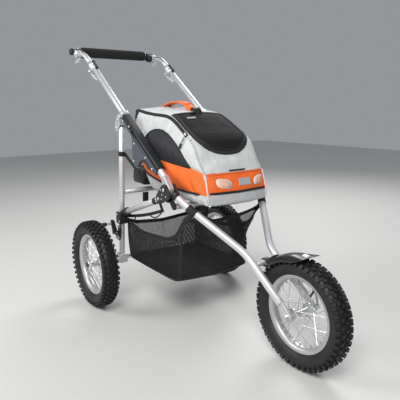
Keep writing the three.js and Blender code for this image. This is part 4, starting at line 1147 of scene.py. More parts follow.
run_way = np.gradient(shell, axis=0)
ring_way = np.roll(shell, -1, axis=1) - np.roll(shell, 1, axis=1)
facing = np.cross(ring_way, run_way)
facing /= np.maximum(np.linalg.norm(facing, axis=2, keepdims=True), 1e-9)
if (facing[row_count // 2, half_count // 2] * (0, -1, 0)).sum() < 0:
    facing = -facing
sewn = shell.copy()
for i in range(cap_rings, row_count - cap_rings):
    for h in range(full_count):
        x, y, z = shell[i, h]
        away = seams.find(place(x, y, z))[2] * 1000
        side = seam_low < half_of[h] < seam_high
        fill = 1 - math.exp(-(away / 13) ** 1.5)
        puff = (4.2 if side else 2.2) * fill
        slack = noise.noise(Vector((x * 0.030, y * 0.012, z * 0.020))) * 2.4
        slack += noise.noise(Vector((x * 0.075 + 5, y * 0.05, z * 0.028))) * 1.3
        near_nose = math.exp(-((x - 425) / 42) ** 2) * (1 if side else 0.35)
        pleat = noise.noise(Vector((x * 0.11 + z * 0.045, 3.0, z * 0.012))) * 8.5 * near_nose
        if not side and inside(flap_line, x, y):
            slack *= 0.35
        ripple = noise.noise(Vector((x * 0.12 + z * 0.03, y * 0.1, 7.0))) * (0.9 if side else 0.5)
        sewn[i, h] += facing[i, h] * (puff + (slack + ripple) * min(1, away / 16) + pleat * min(1, away / 9))
carrier_skin = BVHTree.FromPolygons([tuple(p) for p in framed(sewn.reshape(-1, 3))],
    bands(row_count, full_count))


rear_corner_line = [(15, 720), (24, 700), (60, 688), (52, 655), (68, 632), (92, 612), (92, 570), (15, 570)]
panels = {"roof_cloth": [], "orange_cloth": [], "side_window": [], "boot_cloth": [], "roof_flap": [],
    "rear_corner": []}
for i in range(row_count - 1):
    for h in range(full_count):
        corners4 = (shell[i, h] + shell[i + 1, h] + shell[i, (h + 1) % full_count] + shell[i + 1,
            (h + 1) % full_count]) / 4
        x, y, z = corners4
        half = half_of[h] if h < half_count - 1 else half_of[(h + 1) % full_count]
        if half >= seam_high:
            if z < 455 and x > 400:
                panel = "boot_cloth"
            elif z < 511 and x > 400:
                panel = "orange_cloth"
            elif inside(flap_line, x, y):
                panel = "roof_flap"
            else:
                panel = "roof_cloth"
        elif z < np.interp(x, boot_line[:, 0], boot_line[:, 1], left=0) or (half < seam_low and x > 150):
            panel = "boot_cloth"
        elif half < seam_low:
            panel = "roof_cloth"
        elif inside(rear_corner_line, x, z):
            panel = "rear_corner"
        elif inside(window_line, x, z):
            panel = "side_window"
        elif x > 70 and z < np.interp(x, orange_line[:, 0], orange_line[:, 1]):
            panel = "orange_cloth"
        else:
            panel = "roof_cloth"
        panels[panel].append((i, h))


def sewn_panel(name, cells, lift=0.0):
    """The part of the carrier's skin in these cells as its own piece, with cloth laid flat in its UV map."""
    index, points, flat, faces = {}, [], [], []
    for i, h in cells:
        face = []
        for a, b in ((i, h), (i, (h + 1) % full_count), (i + 1, (h + 1) % full_count), (i + 1, h)):
            if (a, b) not in index:
                index[a, b] = len(points)
                spot = sewn[a, b] + facing[a, b] * lift
                points.append(tuple(framed(spot)))
                level = abs(facing[a, b][1]) > 0.6
                flat.append((spot[0] / 1000, spot[2] / 1000) if level else (spot[1] / 1000, a * 0.0035))
            face.append(index[a, b])
        faces.append(face)
    piece = cloth_piece(name, points, faces, flat)
    mesh = piece.data
    with edited(mesh) as sealed:
        bmesh.ops.remove_doubles(sealed, verts=sealed.verts, dist=1e-5)
    outward = sum(1 if polygon.normal.dot(polygon.center - place(245, 0, 560)) > 0 else -1
        for polygon in mesh.polygons)
    if outward < 0:
        mesh.flip_normals()
    modify(piece, "SOLIDIFY", thickness=0.0022, offset=-1)
    return settle(piece)


# Woven cloth: threads crossing over and under, for nylon, webbing and binding.
weave, weave_in, weave_out = shader_group("woven_cloth", {"Threads": 900.0, "Across": 900.0},
    {"Height": "NodeSocketFloat", "Tone": "NodeSocketFloat"})
weave_split = node(weave, "ShaderNodeSeparateXYZ", {0: spot_of(weave, "UV")})
warp = maths(weave, "SINE", maths(weave, "MULTIPLY", weave_split.outputs["X"], weave_in["Threads"]))
weft = maths(weave, "SINE", maths(weave, "MULTIPLY", weave_split.outputs["Y"], weave_in["Across"]))
crossed = maths(weave, "MULTIPLY_ADD", maths(weave, "MULTIPLY", warp, weft), 0.5, 0.5)
weave.links.new(crossed, weave_out["Height"])
# Painted crease shade: random noise patches darken and lighten the cloth's colour, as shade and light in
# creases would.
painted_crease_shade = remap(weave, clouds(weave, spot_of(weave), 26.0, 5.0, Roughness=0.6), 0.3, 0.7, 0.86, 1.06)
weave.links.new(maths(weave, "MULTIPLY", painted_crease_shade, maths(weave, "MULTIPLY_ADD", crossed, 0.12, 0.9)),
    weave_out["Tone"])


def cloth(name, colour, roughness=0.72, threads=5200.0, across=5200.0, depth=0.0003, sheen=0.15, dusty=0.12):
    """A woven finish with painted crease shade and light in random patches, thread relief and a little dust.
    """
    finish, tree, inputs = blank_finish(name, Sheen_Weight=sheen)
    woven = node(tree, "ShaderNodeGroup", {"Threads": threads, "Across": across}, node_tree=weave).outputs
    grit = node(tree, "ShaderNodeGroup", {"Amount": dusty}, node_tree=dust).outputs["Mask"]
    tree.links.new(blend(tree, grit, tinted(tree, colour, woven["Tone"]), dust_colour), inputs["Base Color"])
    tree.links.new(maths(tree, "MULTIPLY_ADD", woven["Height"], 0.12, roughness), inputs["Roughness"])
    rumple = clouds(tree, spot_of(tree), 70.0, 3.0)
    emboss(tree, inputs, maths(tree, "MULTIPLY_ADD", rumple, 1.6, woven["Height"]), 0.5, depth)
    return finish


# Open mesh: rows of small holes in a knitted cloth. The holes show as darker dots, or let light through.
holes, holes_in, holes_out = shader_group("knitted_holes", {"Pitch": 420.0}, {"Hole": "NodeSocketFloat"})
holes_cell = node(holes, "ShaderNodeTexVoronoi", {"Vector": spot_of(holes, "UV"), "Randomness": 0.12,
    "Scale": holes_in["Pitch"]})
holes.links.new(remap(holes, holes_cell.outputs["Distance"], 0.28, 0.42, 1.0, 0.0), holes_out["Hole"])


def open_mesh(name, colour, see_through=0.0, pitch=420.0, roughness=0.6):
    """A knitted mesh finish: threads in one colour, and holes that are darker or let some light through."""
    finish, tree, inputs = blank_finish(name, Roughness=roughness, Specular_IOR_Level=0.3)
    hole = node(tree, "ShaderNodeGroup", {"Pitch": pitch}, node_tree=holes).outputs["Hole"]
    tone = remap(tree, clouds(tree, spot_of(tree), 18.0, 4.0), 0.0, 1.0, 0.75, 1.3)
    dotted = blend(tree, hole, tinted(tree, colour, tone), (*[c * 0.3 for c in colour], 1))
    tree.links.new(dotted, inputs["Base Color"])
    if see_through:
        tree.links.new(maths(tree, "MULTIPLY_ADD", hole, -see_through, 1.0), inputs["Alpha"])
    emboss(tree, inputs, hole, 0.4, -0.0004)
    return finish


light_grey_nylon = cloth("light_grey_nylon", (0.60, 0.61, 0.605), 0.66, sheen=0.1, dusty=0.05)
orange_nylon = cloth("orange_nylon", (0.93, 0.150, 0.012), 0.58, sheen=0.05, dusty=0.03)
boot_nylon = cloth("boot_nylon", (0.52, 0.53, 0.54), 0.45, sheen=0.1, dusty=0.1)
black_binding = cloth("black_binding", (0.009, 0.009, 0.0095), 0.66, 2600.0, 5200.0, 0.0004, 0.0, 0.04)
window_mesh = open_mesh("window_mesh", (0.027, 0.028, 0.033), pitch=330.0)
panel_finish = {"roof_cloth": (light_grey_nylon, "bag_cloth"), "orange_cloth": (orange_nylon, "orange_cloth"),
    "side_window": (window_mesh, "mesh_cloth"), "boot_cloth": (boot_nylon, "bag_cloth"),
    "rear_corner": (black_binding, "mesh_cloth")}
for panel, (finish, slot_name) in panel_finish.items():
    sewn_piece = fit(sewn_panel(f"carrier_{panel}", panels[panel]), finish, "carrier", slot=slot_name)
    if panel == "roof_cloth":
        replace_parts(sewn_piece, "bag_shell")

# ---------------------------------------------------------------- roof flap
# A dark mesh flap sewn into a wide black binding. It covers the roof's opening, zips round its nose, and
# folds back about its straight rear edge.
flap_mesh = open_mesh("flap_mesh", (0.009, 0.009, 0.010), see_through=0.12, pitch=300.0, roughness=0.8)
fit(sewn_panel("flap_cloth", panels["roof_flap"], 0.6), flap_mesh, "flap", "mesh_flap", slot="mesh_cloth")


def ribbon(name, spine, wide, thick=1.2):
    """A flat tape along a spine of (point, facing), in metres, with rounded long edges and laid UVs."""
    points, flat, run = [], [], 0.0
    section = [(-0.5, 0.0), (-0.48, 0.6), (-0.42, 1.0), (0.42, 1.0), (0.48, 0.6), (0.5, 0.0), (0.42, -0.25),
        (-0.42, -0.25)]
    for i, (spot, way) in enumerate(spine):
        before, after = spine[max(i - 1, 0)][0], spine[min(i + 1, len(spine) - 1)][0]
        along = (after - before).normalized()
        run += (spot - before).length if i else 0.0
        across = along.cross(way).normalized()
        up = across.cross(along).normalized()
        for a, b in section:
            points.append(spot + across * (a * wide / 1000) + up * (b * thick / 1000))
            flat.append((run, a * wide / 1000))
    tape = cloth_piece(name, points, capped(len(spine), len(section)), flat)
    with edited(tape.data) as turned_out:
        bmesh.ops.recalc_face_normals(turned_out, faces=turned_out.faces)
        for face in turned_out.faces:
            face.smooth = len(face.verts) == 4
    return tape


# Stitches: short thread dashes along a seam, each a small box turned with the seam.
stitching, stitching_in, stitching_out = nodes_tree("stitch_row", {"Spacing": ("Float", 0.004),
    "Long": ("Float", 0.0026), "Thick": ("Float", 0.0006), "Material": ("Material", None)})
stitch_line = node(stitching, "GeometryNodeMeshToCurve", {"Mesh": stitching_in["Geometry"]})
stitch_points = node(stitching, "GeometryNodeCurveToPoints", {"Curve": stitch_line.outputs[0],
    "Length": stitching_in["Spacing"]}, mode="LENGTH")
stitch_size = node(stitching, "ShaderNodeCombineXYZ", {"X": stitching_in["Thick"], "Y": stitching_in["Thick"],
    "Z": stitching_in["Long"]})
stitch_shape = node(stitching, "GeometryNodeMeshCube", {"Size": stitch_size.outputs[0]})
stitches = node(stitching, "GeometryNodeInstanceOnPoints", {"Points": stitch_points.outputs["Points"],
    "Instance": stitch_shape.outputs["Mesh"], "Rotation": stitch_points.outputs["Rotation"]})
end_tree(stitching, stitching_out, stitches.outputs[0], stitching_in["Material"])


def stitch_along(name, spots, finish, spacing=4.2, long=2.6, thick=0.7):
    """A row of stitches along points in metres; sizes in millimetres."""
    seed = bpy.data.meshes.new(name)
    seed.from_pydata([tuple(p) for p in spots], [(k, k + 1) for k in range(len(spots) - 1)], [])
    return grow(stitching, name, finish, seed, Spacing=spacing / 1000, Long=long / 1000, Thick=thick / 1000)


dark_thread = cloth("dark_thread", (0.06, 0.06, 0.065), 0.7)
flap_rim = [on_roof(x, y, 1.0) for x, y in along_line(np.vstack([flap_line[:1] + (2, 4),
    flap_line[1:-1] * (1, 0.955) - (3, 0), flap_line[-1:] + (2, -4)]), 5)]
fit(ribbon("flap_binding", flap_rim, 13, 1.6), black_binding, "flap")
flap_hem = [on_roof(247, y, 1.2) for y in np.linspace(-91, 91, 24)]
fit(ribbon("flap_hem", flap_hem, 12, 1.5), black_binding, "flap")
for row_name, inset in (("outer", 0.985), ("inner", 0.925)):
    flap_thread = [on_roof(x - 3, y, 2.7)[0] for x, y in along_line(flap_line[1:-1] * (1,
        inset) - (0 if row_name == "outer" else 5, 0), 5)]
    fit(stitch_along(f"flap_stitches_{row_name}", flap_thread, dark_thread), dark_thread, "flap",
        slot="mesh_cloth")
patch_grey = cloth("patch_grey", (0.32, 0.33, 0.33), 0.6)
patch_spine = [on_roof(283, y, 1.0) for y in np.linspace(-66, -34, 8)]
fit(ribbon("flap_patch", patch_spine, 11, 0.8), patch_grey, "flap", slot="mesh_cloth")

# ---------------------------------------------------------------- zip, bindings and piping
# Black binding runs along the roof's two long edges and becomes the flap's zip towards the front. From the
# nose down, the teeth show as a bright line, then turn into white piping at the boot's corners.


def corner_seam(x_from, x_to, lift=0.6):
    """The right-hand edge between roof and side, as (point, facing), from one x to another."""
    spine = []
    for i in range(cap_rings, row_count - cap_rings):
        x = sewn[i, seam_high, 0]
        if x_from <= x <= x_to:
            way = Vector(facing[i, seam_high])
            spine.append((Vector(framed(sewn[i, seam_high])) + way * lift / 1000, way))
    return spine[::2] + ([spine[-1]] if len(spine) % 2 == 0 else [])


zip_metal = surface("zip_metal", (0.8, 0.8, 0.79), 0.22, 1.0, worn=(0.5, 0.5, 0.5), dusty=0.0)
white_piping = cloth("white_piping", (0.66, 0.67, 0.66), 0.55)
fit_pair(ribbon("roof_binding_right", corner_seam(36, 352), 11, 1.8), black_binding, "carrier")
zip_run = corner_seam(345, 440, 1.2)
fit_pair(ribbon("zip_tape_right", corner_seam(345, 444, 0.4), 8.5, 0.8), light_grey_nylon, "carrier",
    slot="bag_cloth")
zip_grey = cloth("zip_grey", (0.16, 0.165, 0.17), 0.5)
for row_name, step in (("upper", 2.0), ("lower", -2.0)):
    teeth_line = [p + (way.cross(Vector((1, 0, -0.6)).normalized())).normalized() * step / 1000 for p,
        way in zip_run]
    fit_pair(stitch_along(f"zip_teeth_{row_name}_right", teeth_line, zip_grey, 2.0, 1.5, 1.1), zip_grey,
        "carrier", slot="chrome")
nose_piping = [p for p, _ in corner_seam(436, 470, 0.8)]
nose_end = nose_piping[-1]
nose_piping += [nose_end + Vector((0.0006, 0.001, -0.012)), nose_end + Vector((0.0002, 0.0022, -0.026))]
fit_pair(drawn_tube("nose_piping_right", nose_piping, 0.0024, 12), white_piping, "carrier", slot="bag_cloth")
boot_side = [on_side(x, z, 0.8)[0] for x, z in along_line(boot_line[1:-2], 6)]
boot_front = [on_front(y, 455, 0.8)[0] for y in range(-104, 105, 8)]
fit(drawn_tube("boot_piping", boot_side + boot_front + [Vector((p.x, -p.y, p.z)) for p in boot_side[::-1]],
    0.0036, 14, up=Vector((0, 0, 1))), black_binding, "carrier")
window_rim = [on_side(x, z, 0.5)[0] for x, z in along_line(window_line, 5)]
window_rim[-1] = window_rim[0]
fit_pair(drawn_tube("window_piping_right", window_rim[:-1] + [window_rim[0] * 0.999 + window_rim[-2] * 0.001],
    0.0016, 10), window_mesh, "carrier", slot="mesh_cloth")
fit(drawn_tube("band_seam", [on_front(y, 511, 0.3)[0] for y in range(-106, 107, 8)], 0.0013, 10,
    up=Vector((0, 0, 1))), orange_nylon, "carrier", slot="orange_cloth")
fit_pair(stitch_along("side_stitches_right", [on_side(x, z + 4, 0.5)[0] for x,
    z in along_line(orange_line[3:-2], 5)], dark_thread, 4.2, 2.6, 0.6), dark_thread, "carrier",
    slot="mesh_cloth")
fit(stitch_along("band_stitches", [on_front(y, 507, 0.6)[0] for y in range(-104, 105, 5)], dark_thread),
    dark_thread, "carrier", slot="orange_cloth")

# Zip pulls: pressed metal sliders with a ring and a black moulded knob, parked at the flap's front corner.
pull_low, pull_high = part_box("zip_pull")
pull_x, pull_y = (pull_low[0] + pull_high[0]) / 2, (pull_low[1] + pull_high[1]) / 2
pull_top = Vector((pull_x, pull_y, pull_high[2]))
fit(drawn_tube("zip_pull_tab", [pull_top, pull_top + Vector((0, 0, -0.012)),
    Vector((pull_x, pull_y, pull_low[2]))], 0.0040, 20, flat=0.3), zip_metal, "zip_tab", "zip_pull",
    slot="chrome")
for slider_name, slider_x in (("rear", 344), ("front", 362)):
    seam_at = min(corner_seam(300, 380, 2.5), key=lambda s: abs(s[0].x - place(slider_x, 0, 0).x))
    fit(drawn_tube(f"zip_slider_{slider_name}", [seam_at[0] - slope * 0.006, seam_at[0],
        seam_at[0] + slope * 0.006], 0.0042, 18, flat=0.6), zip_metal, "carrier", slot="chrome")
knob_top = min(corner_seam(300, 380, 2.5), key=lambda s: abs(s[0].x - place(348, 0, 0).x))[0]
fit(drawn_tube("zip_cord", [knob_top, knob_top + Vector((-0.004, -0.010, -0.010)),
    knob_top + Vector((-0.008, -0.016, -0.026))], 0.0012, 10), black_binding, "carrier")
fit(drawn_tube("zip_knob", [knob_top + Vector((-0.0078, -0.0158, -0.024)),
    knob_top + Vector((-0.009, -0.017, -0.031)), knob_top + Vector((-0.010, -0.018, -0.038))], 0.0038, 18),
    moulded_black, "carrier")

# ---------------------------------------------------------------- front band patches
# Two plain pale oval patches and a small silver badge are sewn on the orange band, with a short black pull
# tab above them. All are blank.
pale_patch = cloth("pale_patch", (0.85, 0.74, 0.69), 0.6)
pale_field = cloth("pale_field", (0.85, 0.50, 0.36), 0.6)
for patch_name, patch_y, patch_wide, patch_tall in (("right", -56, 56, 27), ("left", 80, 44, 26)):
    for ring_name, grow_by, patch_finish, patch_lift in (("edge", 1.0, pale_patch, 0.8),
            ("field", 0.76, pale_field, 1.3)):
        rim_spots = [(patch_y + patch_wide / 2 * grow_by * math.copysign(abs(math.cos(a)) ** 0.75,
            math.cos(a)), 482 + 5 * math.cos(a) * (1 if patch_y > 0 else -1) + patch_tall / 2 * grow_by
            * math.copysign(abs(math.sin(a)) ** 0.75, math.sin(a))) for a in np.linspace(0, 2 * math.pi,
            33)[:-1]]
        rim_points = [on_front(y, z, patch_lift)[0] for y, z in rim_spots]
        heart = on_front(patch_y, 482, patch_lift)[0]
        half_in = [on_front(patch_y + (y - patch_y) / 2, 482 + (z - 482) / 2, patch_lift)[0] for y,
            z in rim_spots]
        patch_faces = [(k, (k + 1) % 32, 32 + (k + 1) % 32, 32 + k) for k in range(32)]
        patch_faces += [(32 + k, 32 + (k + 1) % 32, 64) for k in range(32)]
        patch = mesh_piece(f"band_patch_{ring_name}_{patch_name}", rim_points + half_in + [heart],
            patch_faces)
        if patch.data.polygons[0].normal.x < 0:
            patch.data.flip_normals()
        modify(patch, "SOLIDIFY", thickness=0.0008)
        fit(settle(patch), patch_finish, "carrier", slot="orange_cloth")
badge = mesh_piece("band_badge", [on_front(y, z, lift)[0] for lift in (0.4, 2.0) for y,
    z in ((-2, 472), (44, 472), (44, 493), (-2, 493))], capped(2, 4), False)
modify(badge, "BEVEL", width=0.0006, segments=2)
fit(settle(badge), cast_alloy, "carrier")
pull_tab_spine = [on_front(y, 517, 1.0) for y in np.linspace(-28, 34, 10)]
fit(ribbon("band_pull", pull_tab_spine, 5, 1.4), black_binding, "carrier")

# ---------------------------------------------------------------- carry strap
# Orange webbing, folded and sewn, arching over the roof from its rear edge to just behind the flap, where a
# short black webbing loop holds it. A lighter pair of stitch rows runs along it.
orange_webbing = cloth("orange_webbing", (0.95, 0.17, 0.015), 0.62, 3600.0, 1500.0, 0.0005, 0.1, 0.05)
strap_spine = [on_roof(x, 0, 1.4) for x in (30, 38, 46, 54)]
strap_arch = bent_path([place(54, 0, strap_spine[-1][0].z * 1000), place(84, 0, 717), place(124, 0, 722),
    place(170, 0, 720), place(198, 0, 709), place(210, 0, on_roof(210, 0)[0].z * 1000 + 1.5)], 0.022, 6)
strap_spine += [(p, Vector((0.1, 0, 1))) for p in strap_arch[1:-1]]
strap_spine += [on_roof(x, 0, 1.4) for x in (212, 219, 226)]
carry_strap = ribbon("carry_strap_webbing", strap_spine, 38, 4.0)
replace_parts(fit(carry_strap, orange_webbing, "carrier", slot="orange_cloth"), "carry_strap")
for side_name, across_y in (("right", -14), ("left", 14)):
    strap_thread = [p + Vector((0, across_y / 1000, 0)) + way * 0.0041 for p, way in strap_spine]
    fit(stitch_along(f"strap_stitches_{side_name}", strap_thread, orange_webbing), orange_webbing, "carrier",
        slot="orange_cloth")
loop_arc = [on_roof(232, -4, 2.0)[0] + Vector((0.034 * t, 0, 0.014 * math.sin(math.pi * t) - 0.017 * t))
    for t in np.linspace(0, 1, 14)]
fit(ribbon("strap_loop", [(p, Vector((0.5, 0, 1))) for p in loop_arc], 26, 2.2), black_binding, "carrier")
for cross_name, cross_y in (("right", -16), ("left", 9)):
    fit(ribbon(f"loop_side_{cross_name}", [(p + Vector((0, cross_y / 1000, 0.001)),
        Vector((0, 1 if cross_y > 0 else -1, 0.4))) for p in loop_arc[2:-2]], 7, 1.6), black_binding,
        "carrier")

# ---------------------------------------------------------------- floor cushion and rear pouch
# A foam floor cushion in pale grey cloth lies in the carrier. A black soft pouch hangs on its rear wall, and
# two webbing straps steady the carrier from the rear posts. The soft pieces swell between their seams.


blow_frames = 20
blow_settings = dict(quality=5, mass=0.25, tension_stiffness=18, compression_stiffness=18, shear_stiffness=8,
    bending_stiffness=0.6, use_pressure=True, uniform_pressure_force=4.0)


def stuffed(name, block, cap):
    """A sewn, filled piece: a closed block blown up by a cloth run, by no more than cap millimetres."""
    bag = mesh_piece(name, *block)
    modify(bag, "REMESH", mode="VOXEL", voxel_size=0.005)
    settle(bag)
    rest = [v.co.copy() for v in bag.data.vertices]
    blow = modify(bag, "CLOTH")
    for key, value in blow_settings.items():
        setattr(blow.settings, key, value)
    blow.settings.effector_weights.gravity = 0
    blow.point_cache.frame_start = 1
    blow.point_cache.frame_end = blow_frames
    for frame_number in range(1, blow_frames + 1):
        bpy.context.scene.frame_set(frame_number)
    blown = bag.evaluated_get(bpy.context.evaluated_depsgraph_get()).to_mesh()
    moved = [v.co.copy() for v in blown.vertices]
    bag.modifiers.remove(blow)
    for vertex, was, now in zip(bag.data.vertices, rest, moved):
        step = now - was
        if step.length > cap / 1000:
            step *= cap / 1000 / step.length
        vertex.co = was + step
    bpy.context.scene.frame_set(1)
    modify(bag, "SUBSURF", levels=1, render_levels=1)
    settle(bag)
    laid = bag.data.uv_layers.new(name="cloth")
    for polygon in bag.data.polygons:
        flat_axis = max(range(3), key=lambda a: abs(polygon.normal[a]))
        u_axis, v_axis = [a for a in range(3) if a != flat_axis]
        for k in polygon.loop_indices:
            spot = bag.data.vertices[bag.data.loops[k].vertex_index].co
            laid.data[k].uv = (spot[u_axis], spot[v_axis])
        polygon.use_smooth = True
    return bag


def block_of(outline, y_low, y_high):
    """A closed block from a side outline in millimetres, between two widths, with softened ends."""
    middle = (sum(x for x, _ in outline) / len(outline), sum(z for _, z in outline) / len(outline))
    points = []
    for y, share in ((y_low, 0.86), (y_low + 6, 1.0), (y_high - 6, 1.0), (y_high, 0.86)):
        points += [place(middle[0] + (x - middle[0]) * share, y, middle[1] + (z - middle[1]) * share) for x,
            z in outline]
    return points, capped(4, len(outline))


cushion_grey = cloth("cushion_grey", (0.5, 0.5, 0.49), 0.8, sheen=0.3)
cushion_outline = [(168 + 248 * a, 426 + 9 * b) for a, b in ((0.02, 0), (0.98, 0), (1, 0.3), (1, 0.7),
    (0.98, 1), (0.5, 1.05), (0.02, 1), (0, 0.7), (0, 0.3))]
cushion = stuffed("floor_cushion", block_of(cushion_outline, -95, 95), 5)
for vertex in cushion.data.vertices:
    spot = vertex.co - place(292, 0, 430)
    for line_x in (-0.06, 0.0, 0.06):
        vertex.co.z -= 0.0022 * math.exp(-((spot.x - line_x) / 0.004) ** 2) * (1 if spot.z > 0 else 0)
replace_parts(fit(cushion, cushion_grey, "carrier", slot="bag_cloth"), "inner_pad")

pouch_black = cloth("pouch_black", (0.012, 0.0125, 0.016), 0.6, sheen=0.05, dusty=0.05)
pouch_outline = hull_of([(-10, 448, 15), (-6, 472, 14), (54, 442, 11), (57, 474, 11)])
pouch = stuffed("pouch_body", block_of(pouch_outline, -110, 110), 9)
for vertex in pouch.data.vertices:
    spot = vertex.co - place(20, 0, 458)
    for line_y in (-0.052, 0.052):
        vertex.co.x += 0.004 * math.exp(-((spot.y - line_y) / 0.006) ** 2) * (1 if spot.x < 0 else 0)
    vertex.co += vertex.normal * 0.0012 * noise.noise(vertex.co * 38)
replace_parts(fit(pouch, pouch_black, "carrier", slot="bag_cloth"), "rear_pouch")
lid_spine = [(place(x, 0, z), Vector((x - 20, 0, z - 450)).normalized()) for x,
    z in ((44, 492), (20, 496), (-8, 494), (-24, 486), (-33, 470), (-33, 458))]
fit(ribbon("pouch_lid", lid_spine, 150, 2.0), pouch_black, "carrier", slot="bag_cloth")
fit_pair(drawn_tube("steady_sleeve_right", [post_at(z) for z in (538, 543, 549, 555)], 0.0118, 28),
    black_binding, "rear_frame")
fit_pair(ribbon("steady_strap_right", [(post_at(547) + Vector((0.004 + 0.064 * t, 0.011 + 0.012 * t,
    -0.002 - 0.054 * t)), Vector((0.1, -1, 0.1))) for t in np.linspace(0, 1, 12)], 13, 1.8), black_binding,
    "rear_frame")
fit_pair(pressed_plate("steady_hook_right", rounded(20, 15, 4, 104, 489), 149, 154.4, 1.2), moulded_black,
    "rear_frame")
tab_spine = [(place(28 - 2 * t, -84, 399 - 34 * t), Vector((1, 0, 0.05))) for t in np.linspace(0, 1, 8)]
fit_pair(ribbon("brace_tab_right", tab_spine, 24, 2.6), black_binding, "rear_frame")

# ---------------------------------------------------------------- basket
# A basket of black open mesh with a closely woven floor. Bound edges dip between its corners, and webbing
# straps hang it from the rear posts and from the lower tubes.
basket_line = [  # along the floor's edge: x, y, z; and the bound top edge above it
    (19, 0, 160, 3, 0, 276), (19, -110, 161, 3, -112, 285), (19, -148, 161, 3, -149, 299),
    (70, -150, 161, 66, -147, 282), (131, -150, 160, 131, -145, 274), (201, -150, 160, 201, -144, 279),
    (270, -150, 160, 280, -145, 286), (326, -148, 161, 340, -148, 312), (334, -128, 161, 386, -147, 374),
    (335, -75, 157, 362, -80, 350), (336, 10, 152, 352, 0, 341), (334, 70, 154, 360, 80, 349)]
basket_line += [(bx, -by, bz, tx, -ty, tz) for bx, by, bz, tx, ty, tz in basket_line[8:0:-1]]
basket_line = np.array(basket_line + basket_line[:1], float)
edge_run = np.concatenate([[0], np.cumsum(np.hypot(np.diff(basket_line[:, 0]), np.diff(basket_line[:, 1])))])
edge_steps = 300
edge = np.column_stack([np.interp(np.linspace(0, edge_run[-1], edge_steps, endpoint=False), edge_run,
    basket_line[:, c]) for c in range(6)])
for _ in range(3):
    edge = edge * 0.5 + (np.roll(edge, 1, axis=0) + np.roll(edge, -1, axis=0)) * 0.25
wall_steps = 20
wall = np.zeros((wall_steps + 1, edge_steps, 3))
for k in range(edge_steps):
    low, high = edge[k, :3], edge[k, 3:]
    for j in range(wall_steps + 1):
        t = j / wall_steps
        spot = low + (high - low) * t
        out = np.array([spot[0] - 180, spot[1], 0.0])
        out[0] *= 0.55
        out /= np.linalg.norm(out)
        corner = math.exp(-((abs(low[1]) - 146) / 30) ** 2 - ((low[0] - 332) / 46) ** 2)
        sag = 3.0 * math.sin(math.pi * t ** 0.7) * (1 - corner)
        pulled = (-20 if low[1] > 0 else -3) * corner * math.sin(math.pi * min(1, t * 1.1))
        fold = 2.2 * noise.noise(Vector((k * 0.11, t * 1.3, 2.0))) * (0.35 + 0.65 * t)
        fold += 1.1 * noise.noise(Vector((k * 0.36, t * 0.7, 9.0))) * t
        wall[j, k] = spot + out * (sag + pulled + fold)
wall_points = [tuple(p) for p in framed(wall.reshape(-1, 3))]
wall_faces = bands(wall_steps + 1, edge_steps)


def hung_sheet(name, points, faces, flat, thick):
    """A thin sheet with a laid UV map in metres, given its thickness."""
    piece = cloth_piece(name, points, faces, flat)
    modify(piece, "SOLIDIFY", thickness=thick / 1000, offset=0)
    return settle(piece)


basket_mesh = open_mesh("basket_mesh", (0.007, 0.007, 0.008), see_through=0.95, pitch=300.0, roughness=0.5)
basket_walls = hung_sheet("basket_walls", wall_points, wall_faces, [(k * edge_run[-1] / edge_steps / 1000,
    j * 0.0065) for j in range(wall_steps + 1) for k in range(edge_steps)], 0.7)
floor_rings = (1.0, 0.96, 0.85, 0.7, 0.5, 0.3, 0.12)
floor_middle = np.array([178.0, 0.0, 161.0])
floor_points, floor_flat = [], []
for ring_share in floor_rings:
    for k in range(edge_steps):
        spot = floor_middle + (edge[k, :3] - floor_middle) * ring_share
        spot[2] = 161.5 + (edge[k, 2] - 161.5) * ring_share ** 3 - 2.0 * (1 - ring_share)
        spot[2] += 1.2 * noise.noise(Vector((spot[0] * 0.03, spot[1] * 0.03, 4.0))) * (1 - ring_share)
        floor_points.append(tuple(framed(spot)))
        floor_flat.append((spot[0] / 1000, spot[1] / 1000))
floor_points.append(tuple(framed(floor_middle - (0, 0, 2))))
floor_flat.append((floor_middle[0] / 1000, 0))
floor_faces = [(b, a, d, c) for a, b, c, d in bands(len(floor_rings), edge_steps)]
last_ring = (len(floor_rings) - 1) * edge_steps
floor_faces += [(last_ring + (k + 1) % edge_steps, last_ring + k, len(floor_points) - 1)
    for k in range(edge_steps)]
basket_black = cloth("basket_black", (0.009, 0.009, 0.010), 0.6, 4200.0, 4200.0, 0.0003, 0.0, 0.12)
basket_floor = hung_sheet("basket_floor_cloth", floor_points, floor_faces, floor_flat, 1.6)
basket_hem = ribbon("basket_hem", [(Vector(framed(wall[-1, k % edge_steps])),
    Vector(np.array([edge[k % edge_steps, 3] - 180, edge[k % edge_steps, 4] * 1.6, 0.0])).normalized())
    for k in range(0, edge_steps + 3, 3)], 13, 2.2)
seam_names = []
for corner_name, corner_k in (("front_right", 7.55), ("front_left", 12.45), ("rear_right", 2.0),
        ("rear_left", 18.0)):
    k = int(round(np.interp(corner_k, range(len(edge_run)), edge_run) / edge_run[-1]
        * edge_steps)) % edge_steps
    seam_way = Vector((edge[k, 0] - 180, edge[k, 1], 0)).normalized()
    corner_tape = ribbon(f"basket_seam_{corner_name}", [(Vector(framed(wall[j, k])) + seam_way * 0.0004,
        seam_way) for j in range(wall_steps + 1)], 9, 1.6)
    seam_names.append(fit(corner_tape, black_binding, "front_frame"))
foot_tape = ribbon("basket_foot_binding", [(Vector(framed(wall[0, k % edge_steps])),
    Vector((edge[k % edge_steps, 0] - 180, edge[k % edge_steps, 1], -60)).normalized())
    for k in range(0, edge_steps + 3, 3)], 9, 1.8)
seam_names += [fit(foot_tape, black_binding, "front_frame"), fit(basket_hem, black_binding, "front_frame")]
fit(basket_walls, basket_mesh, "front_frame", slot="mesh_cloth")
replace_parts(basket_walls, "basket")
fit(basket_floor, basket_black, "front_frame", slot="mesh_cloth")
for piece in (basket_walls, basket_floor, *seam_names):
    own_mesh(piece)

